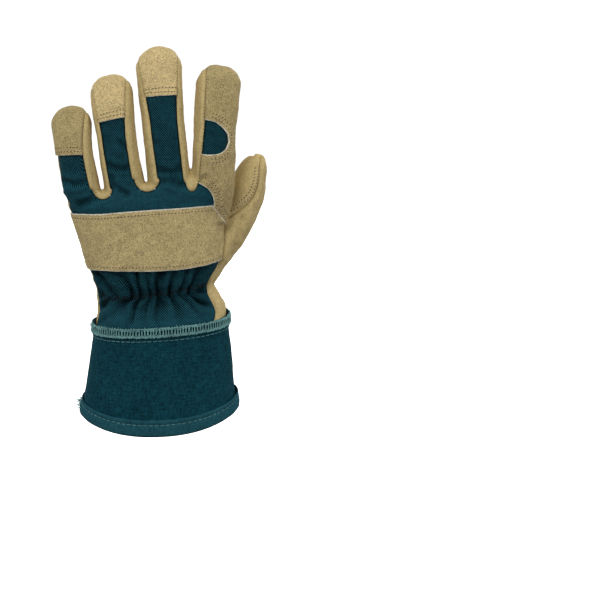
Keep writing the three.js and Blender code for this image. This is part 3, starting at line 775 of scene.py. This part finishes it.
# The back is dark teal cotton drill, gathered over elastic at the wrist: deep pleats above the
# elastic, and softer folds that fan out from it to the cuff's seam.
def gathers(points):
    x, y, z = points.T
    share = (np.arctan2(y, x + 1.5) + math.pi) / math.pi
    share = np.where(y < 0, share, np.where(x < 0, 0, 1))
    height = z - (cuff_height + elastic_height - 1.5 + seam_slope * (x + 3))
    spread = np.where(height > 0, 0.34, 0.62) * abs(height) / 17
    fan = share - (share - 0.5) * spread / (1 + spread)
    fan += 0.008 * np.sin(height * 0.33 + share * 11) + 0.016 * np.sin(share * 17)
    fan += 0.008 * np.sin(share * 41)
    turn = fan * 11.5 * math.pi
    uneven = 0.72 + 0.28 * np.sin(share * 23 + 1)
    valley = (1 - abs(np.sin(turn))) ** 1.25
    small = (1 - abs(np.sin(2 * turn + 0.7))) ** 1.2
    above = 1 - eased(7 + 3 * np.sin(share * 27), 24, height)
    below = bell(np.minimum(height, 0), 16 + 4 * np.sin(share * 31))
    strength = np.where(height > 0, above, below) * eased(-22, -14, height)
    fade = eased(0, 8, np.minimum(in_back(x, y, z), -in_outer_thumb(x, y, z)))
    band = 0.9 * bell(height - 1.6 * np.cos(2 * turn), 1.3)
    return -fade * (5.2 * uneven * valley * strength + 1.3 * small * bell(height, 6) + band)


def cloth_wave(points):
    broad, fine = ripple(points, 15, 11, (1.4, 1, 0.7)), ripple(points, 6, 12, (1.3, 1, 0.8))
    return 0.34 * broad + 0.14 * fine + gathers(points)


cap_lines = {
    "little": (163.6, 0.03, 0.6), "ring": (184.6, 0.2, 1.6), "middle": (199.6, 0.06, 0.8),
    "index": (188, 0, 0),
}


def above_cap_line(name, x, z):
    """Millimetres above the lower edge of a fingertip's leather: its level, slope and crown."""
    level, slope, crown = cap_lines[name]
    finger = fingers[name]
    middle = finger_point(finger, share_at(finger, level))[0]
    off = (x - middle) / (finger["width"] / 2)
    return z - (level + slope * (x - middle) + crown * (1 - off**2))


def own_cap_line(x, z):
    return np.choose(finger_at(x, z), [above_cap_line(name, x, z) for name in names])


def back_fields(x, y, z):
    return (in_back(x, y, z), -in_slots(x, y, z), -in_outer_thumb(x, y, z), 7 - own_cap_line(x, z),
            low_edge(x, z))


def woven(name, dark, light, warp, weft, twill, relief, fold_shade_and_tone_amount=0.0):
    """Woven cloth on its own thread lines: warp and weft are their spacings in millimetres, twill is
    the slant of its ribs, and the last argument is how strongly the map laid on the cloth, of painted
    shade in its folds and creases and of lighter bands, darkens and lightens it."""
    material, shader, place = finish_material(name)
    lines = place.node("ShaderNodeUVMap", uv_map="threads")
    across = lines.node("ShaderNodeSeparateXYZ", {0: lines}, 0)
    up = lines.node("ShaderNodeSeparateXYZ", {0: lines}, 1)
    fold_shade_and_tone = place.node("ShaderNodeSeparateXYZ", {0: place.node("ShaderNodeUVMap", uv_map="fold_shade_and_tone")}, 0)
    slant = across * (2 * math.pi / warp) + up * (2 * math.pi / weft * twill)
    ribs = lines.maths("SINE", slant) * 0.36 + 0.5
    picks = lines.node("ShaderNodeCombineXYZ", {0: across * 0.22, 1: up * 1.2}).noise(weft / MM, 2)
    ends = lines.node("ShaderNodeCombineXYZ", {0: across * 1.2, 1: up * 0.22}).noise(warp / MM, 2)
    mottle, wash = place.noise(1.2, 3), place.noise(22, 2)
    plain = picks * 0.5 + ends * 0.5
    weave = plain * (1 - twill) + ribs * twill
    share = weave * 0.54 + plain * (0.4 * twill) + mottle * 0.26 + wash * 0.12 + (0.04 - 0.2 * twill)
    share = (share + (fold_shade_and_tone - 0.5) * fold_shade_and_tone_amount).between(0.34 - 0.1 * fold_shade_and_tone_amount, 0.66 + 0.33 * fold_shade_and_tone_amount)
    relief_height = weave * 0.8 + mottle * 0.4
    dressed(material, shader, share.tint(dark, light), 0.85 + mottle * 0.1, relief_height, 0.6, relief)
    shader.inputs["Specular IOR Level"].default_value = 0.03
    return material


def thread_lines(mesh, lay, fold_shade_and_tone=0.5):
    """Gives a mesh the lay of its threads in millimetres and its tone map, from 0 to 1, as UV maps;
    below 0.5 the map is painted shade for folds and creases.
    """
    corners = np.empty(len(mesh.loops), int)
    mesh.loops.foreach_get("vertex_index", corners)
    fold_shade_and_tone = np.broadcast_to(fold_shade_and_tone, len(mesh.vertices))
    for name, flat in (("threads", lay(places(mesh))), ("fold_shade_and_tone", np.column_stack([fold_shade_and_tone, fold_shade_and_tone]))):
        mesh.uv_layers.new(name=name).data.foreach_set("uv", flat[corners].ravel())


def over_the_back(points):
    x, y, z = points.T
    side = np.clip((x + 3) / 40, -1, 1)
    return np.column_stack([x + side * abs(side) * (y + 14), z])


back = panel("back_drill", back_fields, cloth_wave,
             level=-0.9, thickness=1.0, raw=(3, 4), tuck_depth=0.9)
laid = places(back.data)
height = laid[:, 2]
# The back's tone map: painted shade in the valleys of the gathers and along the creases, and lighter
# over the finger roots and low down by the cuff.
fold_shade_and_tone_amount = 0.5 + gathers(laid) * 0.19
fold_shade_and_tone_amount += 0.25 * plateau(126, 134, 142, 156, height) + 0.32 * (1 - eased(62, 78, height))
fold_shade_and_tone_amount -= 0.2 * creased(laid, np.tile([0, -1, 0], (len(laid), 1)))
drill = woven("teal_drill", (0.0005, 0.0046, 0.0067), (0.0138, 0.077, 0.1025), 1.5, 1.5, 1.0, 0.26, 0.42)
drill_edge = woven("teal_drill_edge", (0.002, 0.014, 0.02), (0.008, 0.038, 0.05), 0.9, 0.9, 0.0, 0.2)
thread_lines(back.data, over_the_back, np.clip(fold_shade_and_tone_amount, 0, 1))
finished(back, [drill, drill_edge], "drill", "back_cloth")

# Leather is lapped over the cloth: a cap on each of three fingertips, with its lower edge cut and
# stitched down, and turned in at the gussets' seams.
tip_tan = suede("fingertip_suede", (0.57, 0.44, 0.215))
core = suede("cut_leather", (0.66, 0.62, 0.51))
for name in names[:3]:
    def cap_fields(x, y, z, name=name):
        i = names.index(name)
        in_column = [x - slot_middle(i - 1, z) if i else x + 200, slot_middle(i, z) - x]
        return (in_back(x, y, z), -in_slots(x, y, z), above_cap_line(name, x, z), np.minimum(*in_column))

    cap = panel(name + "_cap_leather", cap_fields, leather_wave,
                level=0.55, thickness=1.45, raw=(2,), tuck_depth=1.0)
    finished(cap, [shaded_tan if name == "little" else tip_tan, core], "pale_suede", name + "_cap")


# The index finger's leather runs down its outer side to the strap, and is cut out in a half moon
# window and a scoop that show the cloth, with a slanting notch where it meets the strap.
def within(x, z, outline):
    """Millimetres inside a closed outline, below zero outside it."""
    outline = np.array(outline, float)
    nearest = from_line(x, z, [*outline, outline[0]])
    crossed = np.zeros(len(x), bool)
    for (x0, z0), (x1, z1) in zip(outline, np.roll(outline, -1, axis=0)):
        spans = (z0 > z) != (z1 > z)
        crossed ^= spans & (x < (x1 - x0) * (z - z0) / (z1 - z0 + 1e-9) + x0)
    return np.where(crossed, nearest, -nearest)


window_edge = curved([(20, 186.2), (27.5, 185.8), (34, 184.6), (38.6, 181.4), (42, 176.6), (42.6, 172.2),
                      (41, 167.8), (37.5, 164.9), (32, 164), (27, 164.2), (20, 164.6)])
scoop_edge = curved([(20, 148), (24.5, 147), (29.5, 144.4), (32.8, 140), (34, 135.5), (33.9, 131.6)])
notch_edge = [(33.9, 131.6), (36.6, 128.2), (40.9, 121.6)]
scoop = [*scoop_edge, (33.9, 120), (20, 120)]


def outside_notch(x, z):
    """Millimetres outside the slanting notch, to its right, which the index leather fills."""
    (x0, z0), (x1, z1) = notch_edge[0], notch_edge[-1]
    run = math.hypot(x1 - x0, z1 - z0)
    return ((z - z0) * (x1 - x0) - (x - x0) * (z1 - z0)) / run


def wrap_fields(x, y, z):
    return (in_back(x, y, z), -in_slots(x, y, z), -in_outer_thumb(x, y, z), -within(x, z, window_edge),
            -within(x, z, scoop), outside_notch(x, z) - 0.1, x - slot_middle(2, z))


wrap = panel("index_leather", wrap_fields, leather_wave,
             level=0.55, thickness=1.45, raw=(3, 4, 5))
finished(wrap, [shaded_tan, core], "pale_suede", "index_wrap")


# The knuckle strap crosses the back from the side seam to the thumb. Its upper and lower edges are
# cut and stitched down, and its upper corner is cut back along the index leather's notch.
def strap_top(x):
    return np.interp(x, [-57, -54.4, -36.4, -20, -4.4, 15, 33.6, 42],
                     [126.4, 126.7, 127.5, 129.2, 130.4, 131.5, 132.7, 133.1])


def strap_bottom(x):
    return np.interp(x, [-47, -45.3, -31.4, -4.4, 14.9, 30, 40.6, 44],
                     [91.9, 92.1, 92.7, 93.2, 94.3, 96.2, 98.2, 99])


def strap_fields(x, y, z):
    return (in_back(x, y, z), -in_outer_thumb(x, y, z), strap_top(x) - z, z - strap_bottom(x),
            -outside_notch(x, z) - 0.2)


strap = panel("strap_leather", strap_fields, leather_wave,
              level=0.6, thickness=1.5, raw=(2, 3, 4))
finished(strap, [pale_tan, core], "pale_suede", "knuckle_strap")


# The cuff is one stiff layer of plain canvas, flared to the hem, with a lapped seam down its palm
# side near the little finger.
hem_width = 102.0
hem_depth = 80.0
hem_drop = 7.0
hem_slope = 0.045
cuff_flare = [(0, 0), (0.35, 0.42), (0.7, 0.77), (1, 1)]
round_count = 288
round_angles = np.linspace(0, 2 * math.pi, round_count, endpoint=False)


def on_cuff(angles, share, offset=0.0, lift=0.0):
    """Points of the cuff at a share of its height, offset outwards from its face and lifted."""
    angles = np.asarray(angles, float)
    opening = along(cuff_flare, share)[..., 0]
    half_width = (hem_width + (cuff_top_width - hem_width) * opening) / 2 + offset
    half_depth = (hem_depth + (cuff_top_depth - hem_depth) * opening) / 2 + offset
    x, y = rounded(angles, half_width, half_depth, 2.2)
    low = -hem_drop * np.sin(angles) ** 2 + hem_slope * x
    z = low + (cuff_height + seam_slope * x - low) * share + lift
    return np.stack([x + opening, y, z], -1)


def sleeve(name, rings):
    """A skin through rings of points, open at both ends unless its first ring is also its last."""
    bm = bmesh.new()
    ringed(bm, rings)
    bmesh.ops.remove_doubles(bm, verts=bm.verts, dist=0.001)
    bmesh.ops.recalc_face_normals(bm, faces=bm.faces)
    return object_of(bm, name)


def round_the_cuff(points):
    x, y, z = points.T
    turn = np.arctan2(y / 36, x / 47)
    return np.column_stack([turn * 41, z])


canvas = woven("teal_canvas", (0.0008, 0.013, 0.019), (0.0074, 0.066, 0.091), 1.1, 1.1, 0.0, 0.3)
rings = []
for share in np.linspace(0.026, 1, 44):
    face = on_cuff(round_angles, share)
    swell = 0.55 * ripple(face, 46, 21) + 0.12 * ripple(face, 13, 22)
    lap = (np.degrees(round_angles) - 156 - 5 * share) * 0.8
    lapped = 1.5 * bell(lap - 1.6, 1.7) - 1.1 * bell(lap + 1.2, 1.0)
    swell *= 0.9 * math.sin(math.pi * share) ** 0.5
    rings.append(on_cuff(round_angles, share, swell + lapped - 0.2))
cuff = sleeve("cuff_canvas", rings)
thread_lines(cuff.data, round_the_cuff)
finished(thickened(cuff, 1.3), [canvas], "canvas", "cuff")

# The hem is bound in cotton tape folded over the canvas's edge and stitched through. Each row gives
# a share of the cuff's height, the distance out from the canvas's face and the lift above it.
tape = woven("teal_tape", (0.0078, 0.043, 0.057), (0.020, 0.098, 0.126), 0.9, 0.9, 0.0, 0.22)
tape_fold = [
    (0.162, -2.5, 0), (0.11, -2.75, 0), (0.06, -2.8, 0), (0.03, -2.8, 0), (0.012, -2.7, -0.3),
    (0.0, -2.4, -0.4), (0, -1.6, -0.8), (0, -0.7, -0.9), (0, 0.0, -0.7), (0, 0.75, -0.2),
    (0.006, 1.2, 0.2), (0.018, 1.35, 0), (0.035, 1.4, 0), (0.055, 1.4, 0), (0.075, 1.35, 0),
    (0.09, 1.3, 0), (0.1, 1.2, 0), (0.107, 0.85, 0), (0.112, 0.7, 0), (0.117, 0.85, 0),
    (0.125, 1.2, 0), (0.14, 1.3, 0), (0.152, 1.25, 0), (0.16, 1.1, 0), (0.163, 0.8, 0),
]
rings = []
for share, offset, lift in tape_fold:
    face = on_cuff(round_angles, share, offset, lift)
    pucker = 0.2 * np.sin(round_angles * 84) * (0.08 < share < 0.14) + 0.12 * ripple(face, 11, 23)
    rings.append(on_cuff(round_angles, share, offset + pucker * (offset > 0), lift))
hem = sleeve("hem_tape", rings)
thread_lines(hem.data, round_the_cuff)
finished(thickened(hem, 0.7), [tape], "tape", "hem_binding")

# Over the cuff's top seam the raw edges of canvas and drill stand up together, and loops of pale
# teal thread are wrapped round them. Each row gives the distance out and the lift above the seam.
raw_edges = [
    (-1.3, 0.6), (-1.45, 2.5), (-1.4, 4.6), (-0.9, 5.9), (-0.1, 6.2), (0.65, 5.8),
    (1.0, 4.6), (1.0, 2.8), (0.75, 1.2), (0.3, 0.2), (-0.4, 0.0), (-1.0, 0.2),
]
rings = []
for offset, lift in raw_edges:
    bumps = 0.22 * ripple(on_cuff(round_angles, 1, offset, lift), 6, 31)
    rings.append(on_cuff(round_angles, 1, offset + bumps * (offset > -1), lift))
edge_roll = sleeve("seam_edge", [*rings, rings[0]])
thread_lines(edge_roll.data, round_the_cuff)
finished(edge_roll, [drill_edge], "drill", "overlocked_edge")


def thread(name, colour, gloss=0.6):
    """Twisted cotton: an even colour with a fine slant in it."""
    material, shader, place = finish_material(name)
    twist, fade = place.noise(0.5, 2), place.noise(9, 2)
    share = (twist * 0.6 + fade * 0.4).between(0.36, 0.64)
    tone = share.tint([c * 0.68 for c in colour], [min(1, c * 1.25) for c in colour])
    dressed(material, shader, tone, gloss + twist * 0.2, twist, 0.5, 0.15)
    return material


def strand(name, lines, radius, materials, slot, sides=1):
    """Threads laid along lines of points."""
    curve = bpy.data.curves.new(name, "CURVE")
    curve.dimensions = "3D"
    curve.bevel_depth = radius
    curve.bevel_resolution = sides
    curve.use_fill_caps = True
    for line in lines:
        spline = curve.splines.new("POLY")
        spline.points.add(len(line) - 1)
        spline.points.foreach_set("co", np.column_stack([line, np.ones(len(line))]).ravel())
    laid = placed(name + "_curve", curve)
    mesh = bpy.data.meshes.new_from_object(laid.evaluated_get(bpy.context.evaluated_depsgraph_get()))
    bpy.data.objects.remove(laid)
    return finished(placed(name, mesh), materials, slot)


def round_at(distances, share):
    """The angles at distances round the cuff, so that stitches are even, and the distance round it."""
    closed = np.append(round_angles, 2 * math.pi)
    runs = lengths_along(on_cuff(closed, share))
    return np.interp(np.asarray(distances) % runs[-1], runs, closed), runs[-1]


chance = np.random.default_rng(7)
around = round_at([0], 1)[1]
stitch_count = 132
steps = 8
t = np.arange(stitch_count * steps + 1) / steps


def strayed(spread, seed):
    """A wander from stitch to stitch, the same at both ends of the round."""
    values = np.random.default_rng(seed).uniform(-spread, spread, stitch_count)
    return np.interp(t, np.arange(stitch_count + 1), np.append(values, values[0]))


def looped(phase, lean, seed):
    """One thread that goes up over the raw edge and back at every stitch."""
    swing = 0.5 - 0.5 * np.cos(2 * math.pi * (t + phase))
    lift = 0.4 + (5.8 + strayed(0.8, seed)) * swing
    offset = 1.25 - 1.0 * eased(0.8, 1, swing) + strayed(0.2, seed + 1)
    slant = lean * np.sin(2 * math.pi * (t + phase))
    turn = round_at((t + slant + strayed(0.2, seed + 2)) * around / stitch_count, 1)[0]
    return on_cuff(turn, 1, offset, lift)


def chain(level, height, offset, phase, seed):
    """A wavy thread that locks the loops along one edge."""
    along_edge = t + 0.2 * np.sin(4 * math.pi * t) + strayed(0.2, seed)
    turn = round_at(along_edge * around / stitch_count, 1)[0]
    lift = level + (height + strayed(0.3, seed + 1)) * np.sin(2 * math.pi * (t + phase))
    return on_cuff(turn, 1, offset + strayed(0.25, seed + 3), lift + strayed(0.35, seed + 2))


teal_thread = thread("teal_thread", (0.18, 0.38, 0.37))
loops = [looped(0, 0.17, 40), chain(5.2, 0.8, 0.9, 0.2, 60), chain(5.6, 0.7, 0.7, 0.6, 65),
         chain(1.1, 0.85, 1.4, 0.0, 75), chain(1.1, 0.85, 1.35, 0.5, 80)]
strand("overlock_loops", loops, 0.19, [teal_thread], "overlock_thread")


def running(share, offset, length, gap):
    """A row of straight stitches round the cuff, each sunk at its ends."""
    whole = round_at([0], share)[1]
    count = round(whole / (length + gap))
    sunk = offset - 0.36 * np.array([1, 0.15, 0, 0.15, 1])
    stitch = np.linspace(0, length / (length + gap), 5)
    return [on_cuff(round_at((k + stitch) * whole / count, share)[0], share, sunk)
            for k in range(count)]


seam_thread = thread("seam_thread", (0.085, 0.225, 0.24))
for name, row in (("cuff_seam_stitches", running(1 - 1.9 / cuff_height, 0.35, 2.4, 1.0)),
                  ("hem_stitches", running(0.112, 1.1, 2.3, 1.1))):
    strand(name, row, 0.24, [seam_thread], "overlock_thread")

# At the hem's corner by the little finger the ends of the tape and threads are frayed, and one
# short tuft is left at the end of the overlocking.
ends = []


def loose_end(angle, share, lift, length, radius_out, curls):
    """One loose end of thread that leaves the cuff's face and curls."""
    start = on_cuff(angle, share, radius_out, lift)
    outward = on_cuff(angle, share, radius_out + 1, lift) - start
    heading = outward * chance.uniform(0.3, 1) + chance.uniform(-0.8, 0.8, 3)
    heading /= np.linalg.norm(heading)
    reach = np.linspace(0, 1, 6)[:, None]
    ends.append(start + heading * reach * length + chance.uniform(-curls, curls, 3) * reach**2)


for _ in range(44):
    loose_end(math.radians(183 + chance.uniform(-5, 6)), chance.uniform(0.02, 0.15), 0,
              chance.uniform(2, 5.5), 0.9, 1.6)
for _ in range(10):
    loose_end(math.radians(181 + chance.uniform(-4, 4)), 1, chance.uniform(2, 6),
              chance.uniform(1.5, 4), 0.6, 1.0)
for _ in range(190):
    loose_end(chance.uniform(0, 2 * math.pi), 1, chance.uniform(5.2, 6.4),
              chance.uniform(0.5, 1.5), 0.4, 0.5)
strand("frayed_ends", ends, 0.14, [teal_thread], "overlock_thread", 0)

# Where leather is cut and not turned, its pale core shows as a rounded line: thin under the
# fingertips' leather, and thicker round the index finger's leather and the strap.
for name, lines in cut_lines.items():
    if lines and not name.startswith(("back", "palm", "outer")):
        thin = 0.3 if "cap" in name else 0.48
        strand(name.replace("leather", "cut_edge"), lines, thin, [core], "pale_suede")


# Needle holes and stitches follow the leather's edges. Each row is drawn as seen from the back,
# dropped onto its piece, and spaced evenly along the surface.
def tree_of(*names):
    verts, faces = [], []
    for name in names:
        mesh = bpy.data.objects[name].data
        faces += [[v + len(verts) for v in polygon.vertices] for polygon in mesh.polygons]
        verts += [v.co / MM for v in mesh.vertices]
    return BVHTree.FromPolygons(verts, faces)


def dropped(tree, line, spacing, facing=-1):
    """Evenly spaced places and normals of a line on a surface."""
    spots, normals = [], []
    for x, z in curved(line, 24):
        spot, normal, _, _ = tree.ray_cast(Vector((x, facing * 100, z)), Vector((0, -facing, 0)))
        if spot and (not spots or (spot - spots[-1]).length < 6):
            spots.append(spot)
            normals.append(normal)
    if len(spots) < 3:
        return []
    spots, normals = np.array(spots), np.array(normals)
    runs = lengths_along(spots)
    at = np.arange(spacing / 2, runs[-1], spacing)
    ahead = along(np.column_stack([runs, spots]), np.minimum(at + 0.5, runs[-1]))
    behind = along(np.column_stack([runs, spots]), at - 0.5)
    facing_out = along(np.column_stack([runs, normals]), at)
    return [(Vector((a + b) / 2), Vector(n).normalized(), Vector(a - b).normalized())
            for a, b, n in zip(ahead, behind, facing_out)]


def beads(name, places_along, size, sink, material, slot):
    """Small rounded marks, each laid along its row: size is its length, width and height."""
    bm = bmesh.new()
    for spot, normal, heading in places_along:
        side = normal.cross(heading).normalized()
        heading = side.cross(normal)
        turn = Matrix((heading, side, normal)).transposed().to_4x4()
        stretch = Matrix.Diagonal((size[0] / 2, size[1] / 2, size[2] / 2, 1))
        laid = Matrix.Translation(spot - normal * sink) @ turn @ stretch
        bmesh.ops.create_icosphere(bm, subdivisions=1, radius=1, matrix=laid)
    return finished(object_of(bm, name), [material], slot)


def beside(line, distance):
    """A line moved to its left, as seen from the back and walked in its own order."""
    line = np.array(curved(line, 4), float)
    step = np.gradient(line, axis=0)
    step /= np.linalg.norm(step, axis=1)[:, None]
    return line + np.column_stack([-step[:, 1], step[:, 0]]) * distance


# The welt's folded edge stands out as a pale roll across the two fingers' roots.
roll = dropped(tree_of("welt_leather"), welt_line, 1.0, facing=1)
roll_line = np.array([spot + normal * 0.1 for spot, normal, _ in roll])
strand("welt_roll", [roll_line], 0.8, [tip_tan], "pale_suede")

# Two rows run along each cut edge of the fingertips, the window, the scoop and the thumb's seam, and
# one row along each edge of the strap, with a hole every 2.1 mm and a pale stitch between holes.
spacing = 2.1
two_rows = (2.0, 4.4)
holes = []
for name in names[:3]:
    finger, (level, slope, crown) = fingers[name], cap_lines[name]
    middle = finger_point(finger, share_at(finger, level))[0]
    off = np.linspace(-1.1, 1.1, 13)
    sideways = off * finger["width"] / 2
    edge = np.column_stack([middle + sideways, level + slope * sideways + crown * (1 - off**2)])
    cap_tree = tree_of(name + "_cap_leather")
    for lift in two_rows:
        holes += dropped(cap_tree, edge + np.array([0, lift + 0.1]), spacing)
index_tree = tree_of("index_leather")
for away in two_rows:
    holes += dropped(index_tree, beside(window_edge[16:-16], away), spacing)
    holes += dropped(index_tree, beside([*scoop_edge[10:], *notch_edge[1:]], away), spacing)
strap_tree = tree_of("strap_leather")
across = np.linspace(-57, 43, 41)
for edge in (strap_top(across) - 2.3, strap_bottom(across) + 2.2):
    holes += dropped(strap_tree, np.column_stack([across, edge]), spacing)
thumb_tree = tree_of("palm_leather", "outer_thumb_leather")
thumb_line = [(65.5, 154), (63.4, 143), (59.8, 135.6), (54, 130), (48, 126.4), (43, 123.3)]
for away in two_rows:
    holes += dropped(thumb_tree, beside(thumb_line, -away), spacing)
holes = [(spot + heading * chance.uniform(-0.2, 0.2), normal, heading)
         for spot, normal, heading in holes]
tan_thread = thread("tan_thread", (0.54, 0.445, 0.265))
# The needle holes are small raised beads in a dark brown that is painted shade for each hole.
needle_hole_shade = thread("needle_hole_shade", (0.105, 0.066, 0.026), 0.9)
beads("needle_hole_shade_beads", holes, (1.05, 0.85, 0.8), 0.12, needle_hole_shade, "sewing_thread")
stitches = [(spot + heading * spacing / 2, normal, heading) for spot, normal, heading in holes]
beads("leather_stitches", stitches, (1.25, 0.65, 0.9), -0.08, tan_thread, "sewing_thread")

# The seams beside the gussets show a small dark mark every two millimetres, in the needle holes'
# painted shade, where they join leather to leather on the back: along the fingertips and the index
# finger.
seams = []
for line, normals in seam_lines:
    runs = lengths_along(line)
    if runs[-1] < 12:
        continue
    table = np.column_stack([runs, line, normals])
    at = np.arange(1, runs[-1] - 1, 2.0)
    for row, heading in zip(along(table, at), along(table, at + 0.5) - along(table, at - 0.5)):
        spot, normal = Vector(row[:3]), Vector(row[3:]).normalized()
        above_cap = own_cap_line(np.array([spot.x]), np.array([spot.z]))[0]
        if normal.y < 0.2 and max(spot.x - slot_middle(2, spot.z), above_cap) > 0:
            seams.append((spot, normal, Vector(heading[:3]).normalized()))
beads("seam_stitch_shade_marks", seams, (0.75, 0.45, 0.6), -0.4, needle_hole_shade, "sewing_thread")

# Dark thread zigzags over the elastic, dropped onto the gathers and lifted a little off them. It
# sways 1.6 mm to either side and comes round every 4.6 mm.
back_tree = tree_of("back_drill")
stitched = []
for x in np.arange(-37, 31, 0.28):
    sway = 1.6 * (2 / math.pi) * math.asin(math.sin(2 * math.pi * x / 4.6))
    z = cuff_height + elastic_height - 1.2 + seam_slope * 2 * (x + 3) + sway
    spot = back_tree.ray_cast(Vector((x, -100, z)), Vector((0, 1, 0)))[0]
    if spot:
        stitched.append(spot + Vector((0, -0.3, 0)))
dark_thread = thread("dark_thread", (0.0004, 0.004, 0.006), 0.8)
strand("elastic_zigzag", [np.array(stitched)], 0.4, [dark_thread], "dark_thread")

bpy.data.objects.remove(form)
